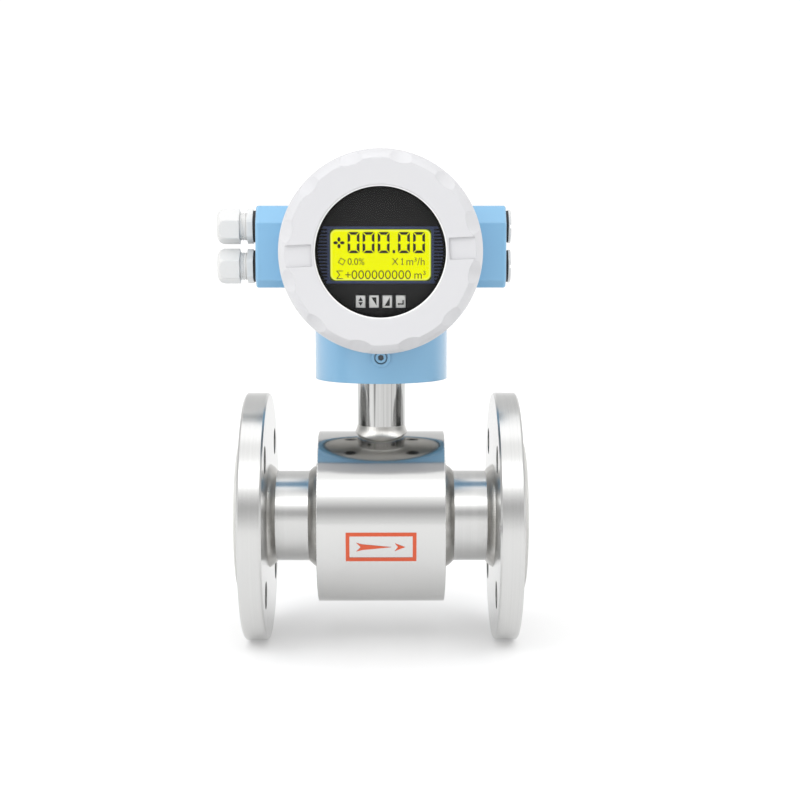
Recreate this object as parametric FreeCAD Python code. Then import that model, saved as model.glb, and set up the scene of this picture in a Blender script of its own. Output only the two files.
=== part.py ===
import FreeCAD, Part
import math
import os

os.makedirs("parts", exist_ok=True)

Vector = FreeCAD.Vector

# Electromagnetic flow meter with the converter head on the sensor, for size 50 pipework.
# Frame: the origin is the centre of the bore at mid-length, +X runs with the flow,
# the display looks along -Y and the head stands up along +Z. All sizes are in millimetres.

# Flanges and the lined bore
overall_length = 190.0
flange_diameter = 165.0
flange_thickness = 15.5
flange_edge = 1.2
bolt_circle = 125.0
bolt_hole = 18.0
bolt_count = 4
raised_face_diameter = 102.0
raised_face_height = 2.0
liner_flare_diameter = 99.0
liner_flare_thickness = 3.0
liner_wall = 2.7
bore_mouth_round = 1.5
tube_diameter = 60.3
tube_wall = 2.9

# Drum that holds the coils
drum_diameter = 114.0
drum_length = 83.0
drum_wall = 3.0
drum_end_thickness = 4.0
drum_edge = 0.5

# Weld beads: how far each reaches along the tube it is on, and up from it.
# The neck's bead is hollow-faced and starts a root below the top of the drum
bead_fullness = 0.56
flange_bead_length = 5.0
flange_bead_height = 4.4
drum_bead_length = 6.5
drum_bead_height = 4.8
neck_bead_length = 4.7
neck_bead_root = 6.0
neck_bead_height = 9.0
neck_bead_fullness = 0.35
plate_bead_size = 2.2

# Field coils, pole shoes and yoke
coil_thickness = 10.0
coil_half_length = 27.0
coil_half_width = 27.0
coil_limb = 11.0
pole_side_gap = 1.2
yoke_radius = 48.5
yoke_thickness = 2.5
yoke_width = 28.0

# Electrodes
electrode_head_diameter = 10.0
electrode_head_thickness = 1.5
electrode_stem_diameter = 4.0
electrode_stem_length = 14.0
sleeve_flange_diameter = 14.0
sleeve_flange_thickness = 1.8
electrode_nut_flats = 8.0
electrode_nut_height = 3.2

# Neck between drum and head
neck_diameter = 31.6
neck_wall = 2.5
neck_visible = 36.1
neck_plate_recess = 1.5
neck_plate_thickness = 8.0
neck_screw_circle = 60.0
neck_screw_thread = 5.0
neck_screw_head = 8.5
neck_screw_head_height = 5.0
neck_screw_grip = 9.0
neck_screw_socket = 4.0
neck_screw_count = 4
socket_share = 0.6
neck_seal_circle = 44.0
neck_seal_section = 2.4
neck_seal_groove = 3.4

# Head housing
head_centre_rise = 84.4
skirt_diameter = 87.2
skirt_wall = 3.5
body_step = 3.1
body_front = 46.6
body_rear = 44.4
spigot_wall = 3.4
spigot_length = 15.4
board_rim_gap = 4.0
partition_thickness = 4.0
partition_offset = 10.0
cable_passage_diameter = 24.0
cable_passage_shift = 4.0
housing_edge = 1.2

# Side wings and their cable ports
wing_half_span = 81.0
wing_half_depth = 24.0
wing_half_height = 26.5
wing_rise = 2.4
wing_top_slope_height = 11.0
wing_top_slope_depth = 9.0
wing_foot_chamfer = 5.0
wing_edge = 1.8
port_spacing = 26.0
port_diameter = 16.0

# Cover lock screw on the skirt
lock_screw_drop = 67.5
lock_pad_diameter = 12.6
lock_pad_height = 1.2
lock_counterbore = 8.4
lock_counterbore_depth = 3.0
lock_screw_head = 7.0
lock_screw_head_height = 2.6
lock_screw_thread = 4.0
lock_screw_grip = 8.0
lock_screw_socket = 3.4

# Covers
cover_overhang = 2.5
cover_shoulder_width = 6.0
front_cover_depth = 35.1
rear_cover_depth = 24.0
cover_shoulder_depth = 10.5
shoulder_mid_along = 0.62
shoulder_mid_out = 0.76
cover_rim_chamfer = 0.8
cover_seat_gap = 0.3
cover_lobes = 12
cover_turn = 2.7
scallop_depth = 1.9
scallop_radius = 19.0
scallop_length = 63.0
scallop_runout = 0.4
slot_width = 13.2
slot_depth = 1.5
slot_margin = 0.8
cover_thread_runout = 1.8
rear_cover_wall = 4.0
cover_inner_step = 1.8
seal_section = 2.8
seal_pocket_depth = 3.1

# Window in the front cover
window_diameter = 80.0
window_lip = 3.0
window_bevel = 1.2
gasket_thickness = 0.8
glass_diameter = 92.8
glass_thickness = 6.0
glass_side_gap = 0.45
retainer_thickness = 3.0
retainer_opening = 83.0
retainer_notch = 5.0

# Display plate, module and keys
display_gap = 2.5
display_plate_diameter = 102.0
display_plate_thickness = 2.0
display_drop = 2.0
display_width = 62.9
display_height = 32.1
display_corner = 2.0
display_set_back = 0.5
display_base_width = 70.0
display_base_height = 38.0
band_height = 35.1
band_depth = 0.4
rib_count = 16
rib_pitch = 2.07
rib_width = 1.1
rib_inner_reach = 33.0
rib_outer_reach = 42.0
key_width = 5.7
key_height = 7.4
key_pitch = 8.27
key_drop = 30.7
key_count = 4
key_proud = 0.6
key_travel = 0.5
key_flange = 0.3
key_flange_thickness = 0.8
key_corner = 0.5

# Boards and what stands on them
board_thickness = 1.6
display_board_diameter = 98.0
main_board_diameter = 100.0
peg_length = 2.6
board_spacing = 26.0
pillar_diameter = 6.0
pillar_spread_x = 36.0
pillar_spread_z = 27.0
transformer_width = 34.0
transformer_height = 28.0
transformer_depth = 18.0
transformer_shift = 10.0
transformer_core_share = 0.6
bobbin_inset = 1.8
capacitor_diameter = 12.0
capacitor_length = 17.0
capacitor_reach = 25.0
capacitor_spacing = 14.0
chip_size = 10.0
chip_thickness = 1.2
chip_pitch = 16.0
chip_rise = 33.0
chips_in_row = 3

# Terminal block and feed-through
terminal_block_width = 64.0
terminal_block_height = 14.0
terminal_block_depth = 18.0
terminal_block_drop = 27.5
terminal_count = 8
terminal_pitch = 7.6
terminal_screw_head = 4.8
terminal_screw_head_height = 1.9
terminal_screw_slot_width = 0.8
terminal_screw_slot_depth = 0.9
terminal_screw_thread = 3.0
terminal_screw_grip = 8.0
terminal_well_depth = 2.6
feedthrough_diameter = 12.0
feedthrough_flange = 16.0
feedthrough_rim = 1.6
feedthrough_shift = 30.0
feedthrough_drop = 3.0

# Cable glands and blanking plugs
gland_hex = 20.6
gland_washer_thickness = 2.8
gland_washer_diameter = 20.8
gland_collar_length = 3.9
gland_collar_diameter = 22.6
gland_stem_length = 12.0
gland_thread_diameter = 17.4
gland_thread_length = 10.1
gland_claw_diameter = 14.8
gland_claw_length = 4.0
gland_claws = 6
claw_slit = 1.2
gland_bore = 12.4
gland_nut_gap = 5.0
gland_nut_diameter = 23.4
gland_nut_hex_length = 9.3
gland_nut_dome_length = 5.3
gland_nut_end_diameter = 16.4
gland_nut_mouth = 11.0
gland_nut_mouth_length = 1.8
dome_mid_along = 0.66
dome_mid_out = 0.68
insert_bore = 8.4
insert_length = 14.0
plug_washer_thickness = 2.4
plug_cap_diameter = 21.6
plug_cap_thickness = 1.8
plug_cap_round = 0.9
plug_stem_length = 11.0
plug_hollow_diameter = 11.0
plug_slot_width = 2.2
plug_slot_depth = 1.1

# Corner of every six-sided piece, in degrees from its first axis
hexagon_turn = 40.0

# Flow direction mark on the drum
mark_width = 45.2
mark_height = 19.2
mark_line = 2.45
mark_drop = 10.2
mark_thickness = 0.25
mark_tail_length = 22.4
mark_tail_start = -15.8
mark_tail_half_height = 2.9
mark_tail_flight = 3.7
mark_tail_notch = 2.8
mark_tail_waist = 1.9
mark_head_start = 8.8
mark_head_length = 6.6
mark_head_half_height = 2.6
mark_head_notch = 1.9

# Internal leads
lead_diameter = 2.0
lead_bend = 2.5
coil_lead_inset = 5.0
electrode_lead_hug = 5.0
electrode_lead_side = 4.0
electrode_lead_x = 3.0
electrode_lead_y = 4.4
lead_low_angle = 27.0
lead_high_angle = 63.0

# Clearances between pieces that fit together
close_fit = 0.05
slip_fit = 0.1
thread_fit = 0.08
loose_fit = 0.3
soft_fit = 0.15

# Places worked out from the sizes above
tube_radius = tube_diameter / 2
tube_bore_radius = tube_radius - tube_wall
liner_radius = tube_bore_radius - close_fit
bore_radius = liner_radius - liner_wall
end_x = overall_length / 2
raised_x = end_x - liner_flare_thickness
flange_outer_x = raised_x - raised_face_height
flange_inner_x = flange_outer_x - flange_thickness
drum_radius = drum_diameter / 2
drum_inner_radius = drum_radius - drum_wall
drum_half_length = drum_length / 2
neck_radius = neck_diameter / 2
skirt_bottom_z = drum_radius + neck_visible
skirt_radius = skirt_diameter / 2
plate_bottom_z = skirt_bottom_z + neck_plate_recess
plate_top_z = plate_bottom_z + neck_plate_thickness
head_z = skirt_bottom_z + head_centre_rise
head_centre = Vector(0, 0, head_z)
compartment_radius = main_board_diameter / 2 + board_rim_gap
spigot_radius = compartment_radius + spigot_wall
body_radius = spigot_radius + body_step
partition_rear_y = -partition_offset
partition_front_y = partition_rear_y - partition_thickness
wing_z = head_z + wing_rise
upper_port_z = wing_z + port_spacing / 2
lower_port_z = wing_z - port_spacing / 2
port_radius = port_diameter / 2
cover_radius = body_radius + cover_overhang
cover_face_radius = cover_radius - cover_shoulder_width
front_rim_y = -body_front - cover_seat_gap
front_face_y = front_rim_y - front_cover_depth
rear_rim_y = body_rear + cover_seat_gap
rear_face_y = rear_rim_y + rear_cover_depth
slot_start = window_diameter / 2 + window_bevel + slot_margin
lip_y = front_face_y + window_lip
glass_front_y = lip_y + gasket_thickness
glass_back_y = glass_front_y + glass_thickness
retainer_back_y = glass_back_y + retainer_thickness
display_face_y = retainer_back_y + display_gap
display_back_y = display_face_y + display_plate_thickness
display_board_y = display_back_y + peg_length
main_board_y = display_board_y + board_thickness + board_spacing
display_z = head_z - display_drop
key_z = head_z - key_drop
terminal_top_z = head_z - terminal_block_drop + terminal_block_height
terminal_bottom_z = head_z - terminal_block_drop

AXES = {"x": Vector(1, 0, 0), "y": Vector(0, 1, 0), "z": Vector(0, 0, 1)}
QUARTER_BULGE = 1 - math.sqrt(0.5)


# Small helpers for turned, drilled and folded shapes

def outward(solid):
    """The solid with its skin facing out."""
    if solid.Volume < 0:
        solid.reverse()
    return solid


def profile_point(along, radius, axis, centre):
    """A point of a turned profile: so far along the turning axis and so far out from it."""
    if axis == "x":
        return centre + Vector(along, 0, radius)
    if axis == "y":
        return centre + Vector(0, along, radius)
    return centre + Vector(radius, 0, along)


def turned(profile, axis, centre=Vector(0, 0, 0)):
    """A solid of revolution. A profile point with a third value is the middle of an arc."""
    spots = [profile_point(point[0], point[1], axis, centre) for point in profile]
    count = len(profile)
    edges = []
    index = 0
    while index < count:
        following = (index + 1) % count
        if len(profile[following]) == 3:
            arc_end = (index + 2) % count
            edges.append(Part.Arc(spots[index], spots[following], spots[arc_end]).toShape())
            index += 2
        else:
            edges.append(Part.makeLine(spots[index], spots[following]))
            index += 1
    face = Part.Face(Part.Wire(edges))
    return outward(face.revolve(centre, AXES[axis], 360))


def round_corner(along, radius, size, inward):
    """Profile points of a quarter round between an end face and the outside of a turned piece."""
    bulge = size * QUARTER_BULGE
    return [
        (along, radius - size),
        (along + inward * bulge, radius - bulge, "arc"),
        (along + inward * size, radius),
    ]


def rod(axis, start, end, radius, centre=Vector(0, 0, 0)):
    """A cylinder along an axis between two places on it."""
    low = min(start, end)
    return Part.makeCylinder(radius, abs(end - start), centre + AXES[axis] * low, AXES[axis])


def ring(axis, start, end, outer, inner, centre=Vector(0, 0, 0)):
    """A plain round sleeve."""
    return turned([(start, inner), (start, outer), (end, outer), (end, inner)], axis, centre)


def hexagon(axis, start, end, flats, centre=Vector(0, 0, 0)):
    """A six-sided bar of the given size across its flats."""
    corner_radius = flats / math.sqrt(3)
    corners = []
    for side in range(7):
        angle = math.radians(60 * side + hexagon_turn)
        across = corner_radius * math.cos(angle)
        up = corner_radius * math.sin(angle)
        if axis == "x":
            offset = Vector(min(start, end), across, up)
        elif axis == "y":
            offset = Vector(across, min(start, end), up)
        else:
            offset = Vector(across, up, min(start, end))
        corners.append(centre + offset)
    face = Part.Face(Part.makePolygon(corners))
    return outward(face.extrude(AXES[axis] * abs(end - start)))


def block(low, high):
    """A box between its lowest and highest corners."""
    size = [high[i] - low[i] for i in range(3)]
    return Part.makeBox(size[0], size[1], size[2], Vector(*low))


def centred_block(x, z, width, height, y_low, y_high):
    """A box in front view, centred on x and z, between two depths."""
    return block((x - width / 2, y_low, z - height / 2), (x + width / 2, y_high, z + height / 2))


def joined(shapes):
    """Several touching shapes as one solid."""
    return shapes[0].multiFuse(shapes[1:]).removeSplitter()


def cut_away(shape, tools):
    """The shape with every tool shape taken out of it."""
    return shape.cut(Part.makeCompound(tools))


def spots_on_circle(diameter, count, first_angle):
    """Pairs of places, evenly spaced round a circle."""
    spots = []
    for index in range(count):
        angle = math.radians(first_angle + 360 * index / count)
        spots.append((diameter / 2 * math.cos(angle), diameter / 2 * math.sin(angle)))
    return spots


def edges_along(shape, axis):
    """The straight edges of a shape that run along one axis."""
    found = []
    for edge in shape.Edges:
        if len(edge.Vertexes) == 2:
            run = edge.Vertexes[1].Point - edge.Vertexes[0].Point
            if run.Length > 0 and run.cross(AXES[axis]).Length < 1e-6 * run.Length:
                found.append(edge)
    return found


# Sensor: tube, liner, flanges and weld beads

def measuring_tube():
    pipe = ring("x", -raised_x, raised_x, tube_radius, tube_bore_radius)
    sleeve_hole = electrode_head_diameter / 2 + close_fit
    return pipe.cut(rod("y", -drum_radius, drum_radius, sleeve_hole))


def liner():
    """Lining that runs through the tube and spreads over both raised faces."""
    flare = liner_flare_diameter / 2
    half = [(end_x - bore_mouth_round, bore_radius)]
    bulge = bore_mouth_round * QUARTER_BULGE
    half.append((end_x - bulge, bore_radius + bulge, "arc"))
    half.append((end_x, bore_radius + bore_mouth_round))
    half += round_corner(end_x, flare, liner_flare_thickness / 4, -1)
    half += [(raised_x, flare), (raised_x, liner_radius)]
    other = [(-point[0],) + tuple(point[1:]) for point in reversed(half)]
    solid = turned(half + other, "x")
    head_radius = electrode_head_diameter / 2 + close_fit
    seat = bore_radius + electrode_head_thickness + close_fit
    stem = electrode_stem_diameter / 2 + close_fit
    return cut_away(solid, [rod("y", -seat, seat, head_radius), rod("y", -drum_radius, drum_radius, stem)])


def flange(side):
    """Slip-on flange with a raised face; side is -1 at the inlet and 1 at the outlet."""
    rim = flange_diameter / 2
    raised = raised_face_diameter / 2
    hole = tube_radius + slip_fit
    profile = [
        (side * flange_inner_x, hole),
        (side * flange_inner_x, rim - flange_edge),
        (side * (flange_inner_x + flange_edge), rim),
        (side * (flange_outer_x - flange_edge), rim),
        (side * flange_outer_x, rim - flange_edge),
        (side * flange_outer_x, raised),
        (side * raised_x, raised),
        (side * raised_x, hole),
    ]
    holes = []
    for y, z in spots_on_circle(bolt_circle, bolt_count, 180 / bolt_count):
        holes.append(rod("x", side * flange_inner_x, side * raised_x, bolt_hole / 2, Vector(0, y, z)))
    return cut_away(turned(profile, "x"), holes)


def fillet_bead(start, length, inner, height, axis, fullness):
    """A weld bead in a corner: full height at the start, running out along the tube."""
    end = start + length
    middle = (start + fullness * length, inner + fullness * height, "arc")
    return turned([(start, inner), (start, inner + height), middle, (end, inner)], axis)


def weld_beads():
    """Beads at both flanges, both drum ends, the neck foot and the neck plate."""
    on_tube = tube_radius + close_fit
    on_neck = neck_radius + close_fit
    beads = []
    for side in (-1, 1):
        beads.append(fillet_bead(side * flange_inner_x, -side * flange_bead_length, on_tube,
                                 flange_bead_height, "x", bead_fullness))
        beads.append(fillet_bead(side * drum_half_length, side * drum_bead_length, on_tube,
                                 drum_bead_height, "x", bead_fullness))
    foot = fillet_bead(drum_radius - neck_bead_root, neck_bead_root + neck_bead_length, on_neck,
                       neck_bead_height, "z", neck_bead_fullness)
    beads.append(foot.cut(rod("x", -drum_half_length, drum_half_length, drum_radius + close_fit)))
    beads.append(fillet_bead(plate_bottom_z, -plate_bead_size, on_neck, plate_bead_size, "z", bead_fullness))
    return Part.makeCompound(beads)


def drum_shell():
    profile = [(-drum_half_length, drum_inner_radius)]
    profile += round_corner(-drum_half_length, drum_radius, drum_edge, 1)
    profile += reversed(round_corner(drum_half_length, drum_radius, drum_edge, -1))
    profile += [(drum_half_length, drum_inner_radius)]
    return turned(profile, "x").cut(rod("z", 0, drum_diameter, neck_radius + slip_fit))


def drum_end(side):
    inner_x = drum_half_length - drum_end_thickness
    return ring("x", side * inner_x, side * drum_half_length, drum_inner_radius - close_fit,
                tube_radius + slip_fit)


# Sensor: coils, pole shoes, yoke and electrodes inside the drum

def saddle(inner, outer, half_length, half_width, side):
    """A patch of a sleeve round the tube, of rectangular plan, above or below it."""
    sleeve = ring("x", -half_length, half_length, outer, inner)
    low, high = sorted((0, side * outer * 2))
    return sleeve.common(block((-half_length, -half_width, low), (half_length, half_width, high)))


def field_coil(side):
    """Wound saddle coil, above the tube with side 1 and below it with side -1."""
    inner = tube_radius + loose_fit
    outer = inner + coil_thickness
    winding = saddle(inner, outer, coil_half_length, coil_half_width, side)
    window_length = coil_half_length - coil_limb
    window_width = coil_half_width - coil_limb
    low, high = sorted((0, side * outer * 2))
    window = block((-window_length, -window_width, low), (window_length, window_width, high))
    return winding.cut(window)


def pole_shoe(side):
    """Iron core in the coil's window, from the tube out to the yoke."""
    half_length = coil_half_length - coil_limb - pole_side_gap
    half_width = coil_half_width - coil_limb - pole_side_gap
    return saddle(tube_radius + slip_fit, yoke_radius - yoke_thickness - slip_fit,
                  half_length, half_width, side)


def yoke_ring():
    return ring("x", -yoke_width / 2, yoke_width / 2, yoke_radius, yoke_radius - yoke_thickness)


def electrode(side):
    """Contact button flush with the bore, on a stem; side is -1 in front and 1 behind."""
    head_end = bore_radius + electrode_head_thickness
    head = rod("y", 0, side * head_end, electrode_head_diameter / 2)
    stem = rod("y", 0, side * (head_end + electrode_stem_length), electrode_stem_diameter / 2)
    return joined([head, stem]).cut(rod("x", -bore_radius, bore_radius, bore_radius))


def electrode_sleeves():
    """Insulating bushes that carry the stems through the tube wall."""
    hole = electrode_stem_diameter / 2 + close_fit
    barrel = electrode_head_diameter / 2
    flange_radius = sleeve_flange_diameter / 2
    sleeves = []
    for side in (-1, 1):
        outer_y = tube_radius + slip_fit
        profile = [
            (side * (tube_bore_radius + slip_fit), hole),
            (side * (tube_bore_radius + slip_fit), barrel),
            (side * outer_y, barrel),
            (side * outer_y, flange_radius),
            (side * (outer_y + sleeve_flange_thickness), flange_radius),
            (side * (outer_y + sleeve_flange_thickness), hole),
        ]
        sleeves.append(turned(profile, "y"))
    return Part.makeCompound(sleeves)


def electrode_nuts():
    start = tube_radius + slip_fit + sleeve_flange_thickness
    nuts = []
    for side in (-1, 1):
        body = hexagon("y", side * start, side * (start + electrode_nut_height), electrode_nut_flats)
        hole = rod("y", side * start, side * (start + electrode_nut_height),
                   electrode_stem_diameter / 2 + close_fit)
        nuts.append(body.cut(hole))
    return Part.makeCompound(nuts)


# Neck between the drum and the head

def neck_tube():
    foot_z = drum_inner_radius - drum_wall / 2
    return ring("z", foot_z, plate_top_z, neck_radius, neck_radius - neck_wall)


def neck_plate():
    """Round plate under the head, with sunk screw holes and a seal groove on top."""
    outer = skirt_radius - skirt_wall - loose_fit
    profile = [
        (plate_bottom_z, neck_radius + slip_fit),
        (plate_bottom_z, outer - housing_edge),
        (plate_bottom_z + housing_edge, outer),
        (plate_top_z, outer),
        (plate_top_z, neck_radius + slip_fit),
    ]
    groove_radius = neck_seal_circle / 2
    groove = ring("z", plate_top_z - neck_seal_section, plate_top_z, groove_radius + neck_seal_groove / 2,
                  groove_radius - neck_seal_groove / 2)
    tools = [groove]
    sink = neck_screw_head_height + loose_fit
    for x, y in spots_on_circle(neck_screw_circle, neck_screw_count, 45):
        centre = Vector(x, y, 0)
        tools.append(rod("z", plate_bottom_z, plate_bottom_z + sink, neck_screw_head / 2 + loose_fit, centre))
        tools.append(rod("z", plate_bottom_z, plate_top_z, neck_screw_thread / 2 + slip_fit, centre))
    return cut_away(turned(profile, "z"), tools)


def cap_screw(axis, seat, head_end, tip, thread, head, socket, centre):
    """Socket-head screw: its head from seat to head_end, its shank from seat to the tip."""
    body = joined([rod(axis, seat, head_end, head / 2, centre), rod(axis, seat, tip, thread / 2, centre)])
    socket_depth = (seat - head_end) * socket_share
    return body.cut(hexagon(axis, head_end, head_end + socket_depth, socket, centre))


def neck_screws():
    seat = plate_bottom_z + neck_screw_head_height + loose_fit
    tip = plate_top_z + neck_screw_grip
    screws = []
    for x, y in spots_on_circle(neck_screw_circle, neck_screw_count, 45):
        screws.append(cap_screw("z", seat, seat - neck_screw_head_height, tip, neck_screw_thread,
                                neck_screw_head, neck_screw_socket, Vector(x, y, 0)))
    return Part.makeCompound(screws)


def neck_seal():
    centre = Vector(0, 0, plate_top_z - neck_seal_section / 2)
    return Part.makeTorus(neck_seal_circle / 2, neck_seal_section / 2 - close_fit, centre, AXES["z"])


# Leads from the coils and electrodes to the terminal block

def lead(corners, radius, bend):
    """A round lead along straight runs, with an arc of one bend radius at each corner."""
    points = [Vector(*corner) for corner in corners]
    edges = []
    start = points[0]
    for before, corner, after in zip(points, points[1:], points[2:]):
        arriving = (corner - before).normalize()
        leaving = (after - corner).normalize()
        turn = arriving.getAngle(leaving)
        cut_back = bend * math.tan(turn / 2)
        arc_start = corner - arriving * cut_back
        arc_end = corner + leaving * cut_back
        inwards = (leaving - arriving).normalize()
        middle = corner + inwards * (bend / math.cos(turn / 2) - bend)
        edges.append(Part.makeLine(start, arc_start))
        edges.append(Part.Arc(arc_start, middle, arc_end).toShape())
        start = arc_end
    edges.append(Part.makeLine(start, points[-1]))
    path = Part.Wire(edges)
    section = Part.Wire(Part.makeCircle(radius, points[0], points[1] - points[0]))
    return outward(path.makePipeShell([section], True, False))


def coil_lead():
    """From the end of the upper coil, over the yoke and up the neck."""
    lead_radius = lead_diameter / 2
    coil_top = tube_radius + loose_fit + coil_thickness
    run_x = coil_half_length - coil_limb / 2
    over_yoke_z = (yoke_radius + drum_inner_radius) / 2 - lead_radius / 2
    rise_x = neck_radius - neck_wall - coil_lead_inset
    end_z = terminal_bottom_z - soft_fit
    corners = [(run_x, 0, coil_top + slip_fit), (run_x, 0, over_yoke_z), (rise_x, 0, over_yoke_z),
               (rise_x, 0, end_z)]
    return lead(corners, lead_radius, lead_bend)


def electrode_leads():
    """From each electrode stem, round inside the drum beside the yoke and up the neck."""
    lead_radius = lead_diameter / 2
    stem_end = bore_radius + electrode_head_thickness + electrode_stem_length
    beside_x = yoke_width / 2 + electrode_lead_side
    hug = drum_inner_radius - electrode_lead_hug
    low_angle = math.radians(lead_low_angle)
    high_angle = math.radians(lead_high_angle)
    top_z = (yoke_radius + drum_inner_radius) / 2 - lead_radius / 2
    end_z = terminal_bottom_z - soft_fit
    leads = []
    for side in (-1, 1):
        corners = [
            (0, side * (stem_end + slip_fit), 0),
            (0, side * (stem_end + 2 * lead_bend), 0),
            (beside_x, side * (stem_end + 2 * lead_bend), 0),
            (beside_x, side * hug * math.cos(low_angle), hug * math.sin(low_angle)),
            (beside_x, side * hug * math.cos(high_angle), hug * math.sin(high_angle)),
            (beside_x, side * electrode_lead_y, top_z),
            (electrode_lead_x, side * electrode_lead_y, top_z),
            (electrode_lead_x, side * electrode_lead_y, end_z),
        ]
        leads.append(lead(corners, lead_radius, lead_bend))
    return Part.makeCompound(leads)


# Flow direction mark

def flat_shape(points, centre_z):
    """A flat outline in front view, as a tool that reaches through the drum's front wall."""
    corners = [Vector(x, -drum_radius * 1.5, centre_z + z) for x, z in points]
    face = Part.Face(Part.makePolygon(corners + [corners[0]]))
    return outward(face.extrude(Vector(0, drum_radius, 0)))


def flow_mark():
    """A frame with a flighted arrow and its head, painted on the drum's front."""
    film = ring("x", -mark_width, mark_width, drum_radius + close_fit + mark_thickness,
                drum_radius + close_fit)
    half_width = mark_width / 2
    half_height = mark_height / 2
    outer = [(-half_width, -half_height), (half_width, -half_height), (half_width, half_height),
             (-half_width, half_height)]
    inner = [(x - math.copysign(mark_line, x), z - math.copysign(mark_line, z)) for x, z in outer]
    frame = flat_shape(outer, -mark_drop).cut(flat_shape(inner, -mark_drop))
    tail_end = mark_tail_start + mark_tail_length
    flight = mark_tail_start + mark_tail_flight
    notch = mark_tail_start + mark_tail_notch
    tail = [(notch, 0), (mark_tail_start, mark_tail_half_height), (flight, mark_tail_waist),
            (tail_end, 0), (flight, -mark_tail_waist), (mark_tail_start, -mark_tail_half_height)]
    head_notch = mark_head_start + mark_head_notch
    head = [(head_notch, 0), (mark_head_start, mark_head_half_height),
            (mark_head_start + mark_head_length, 0), (mark_head_start, -mark_head_half_height)]
    tools = [frame, flat_shape(tail, -mark_drop), flat_shape(head, -mark_drop)]
    return Part.makeCompound([film.common(tool) for tool in tools])


# Head housing

def wing_bar():
    """The bar whose two ends are the wings, with sloped upper and bevelled lower edges."""
    depth = wing_half_depth
    height = wing_half_height
    half = [
        (depth - wing_foot_chamfer, -height),
        (depth, -height + wing_foot_chamfer),
        (depth, height - wing_top_slope_height),
        (depth - wing_top_slope_depth, height),
    ]
    section = half + [(-y, z) for y, z in reversed(half)]
    corners = [Vector(-wing_half_span, y, wing_z + z) for y, z in section]
    face = Part.Face(Part.makePolygon(corners + [corners[0]]))
    bar = outward(face.extrude(Vector(2 * wing_half_span, 0, 0)))
    ends = []
    for edge in bar.Edges:
        if all(abs(abs(vertex.X) - wing_half_span) < 1e-6 for vertex in edge.Vertexes):
            ends.append(edge)
    return bar.makeFillet(wing_edge, ends)


def lock_pad():
    """Flat round pad on the skirt's front for the cover lock screw."""
    pad_z = head_z - lock_screw_drop
    return rod("y", -skirt_radius - lock_pad_height, -skirt_radius + lock_pad_diameter / 2,
               lock_pad_diameter / 2, Vector(0, 0, pad_z))


def housing():
    """Cast body: a drum across, a spigot at each end for a cover, two wings and a skirt."""
    outside = turned([
        (-body_front, 0),
        (-body_front, body_radius - housing_edge),
        (-body_front + housing_edge, body_radius),
        (body_rear - housing_edge, body_radius),
        (body_rear, body_radius - housing_edge),
        (body_rear, 0),
    ], "y", head_centre)
    spigots = rod("y", -body_front - spigot_length, body_rear + spigot_length, spigot_radius, head_centre)
    skirt = rod("z", skirt_bottom_z, head_z, skirt_radius)
    shape = joined([outside, spigots, skirt, wing_bar(), lock_pad()])
    front_room = rod("y", -body_front - spigot_length, partition_front_y, compartment_radius, head_centre)
    rear_room = rod("y", partition_rear_y, body_rear + spigot_length, compartment_radius, head_centre)
    recess = rod("z", skirt_bottom_z, plate_top_z, skirt_radius - skirt_wall)
    passage = rod("z", skirt_bottom_z, head_z, cable_passage_diameter / 2, Vector(0, cable_passage_shift, 0))
    passage = passage.cut(rod("y", -body_front, partition_rear_y, body_radius, head_centre))
    tools = [front_room, rear_room, recess, passage]
    for x, y in spots_on_circle(neck_screw_circle, neck_screw_count, 45):
        depth = neck_screw_grip + neck_screw_thread / 2
        tools.append(rod("z", plate_top_z, plate_top_z + depth, neck_screw_thread / 2 + thread_fit,
                         Vector(x, y, 0)))
    for port_z in (upper_port_z, lower_port_z):
        for side in (-1, 1):
            tools.append(rod("x", side * compartment_radius * 0.5, side * wing_half_span, port_radius,
                             Vector(0, 0, port_z)))
    tools += lock_screw_holes()
    tools.append(rod("y", partition_front_y, partition_rear_y, feedthrough_diameter / 2 + slip_fit,
                     feedthrough_centre()))
    return cut_away(shape, tools)


def lock_screw_holes():
    centre = Vector(0, 0, head_z - lock_screw_drop)
    face_y = -skirt_radius - lock_pad_height
    seat_y = face_y + lock_counterbore_depth
    tip_y = seat_y + lock_screw_grip + lock_screw_thread / 2
    return [
        rod("y", face_y, seat_y, lock_counterbore / 2, centre),
        rod("y", face_y, tip_y, lock_screw_thread / 2 + thread_fit, centre),
    ]


def lock_screw():
    centre = Vector(0, 0, head_z - lock_screw_drop)
    seat_y = -skirt_radius - lock_pad_height + lock_counterbore_depth
    return cap_screw("y", seat_y, seat_y - lock_screw_head_height, seat_y + lock_screw_grip,
                     lock_screw_thread, lock_screw_head, lock_screw_socket, centre)


# Covers and seals

def cover_outside(face_y, depth, inward):
    """Blank of a cover: flat face, sloping shoulder, plain rim."""
    shoulder_mid = (face_y + inward * cover_shoulder_depth * shoulder_mid_along,
                    cover_face_radius + (cover_radius - cover_face_radius) * shoulder_mid_out, "arc")
    rim_y = face_y + inward * depth
    return turned([
        (face_y, 0),
        (face_y, cover_face_radius),
        shoulder_mid,
        (face_y + inward * cover_shoulder_depth, cover_radius),
        (rim_y - inward * cover_rim_chamfer, cover_radius),
        (rim_y, cover_radius - cover_rim_chamfer),
        (rim_y, 0),
    ], "y", head_centre)


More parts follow.
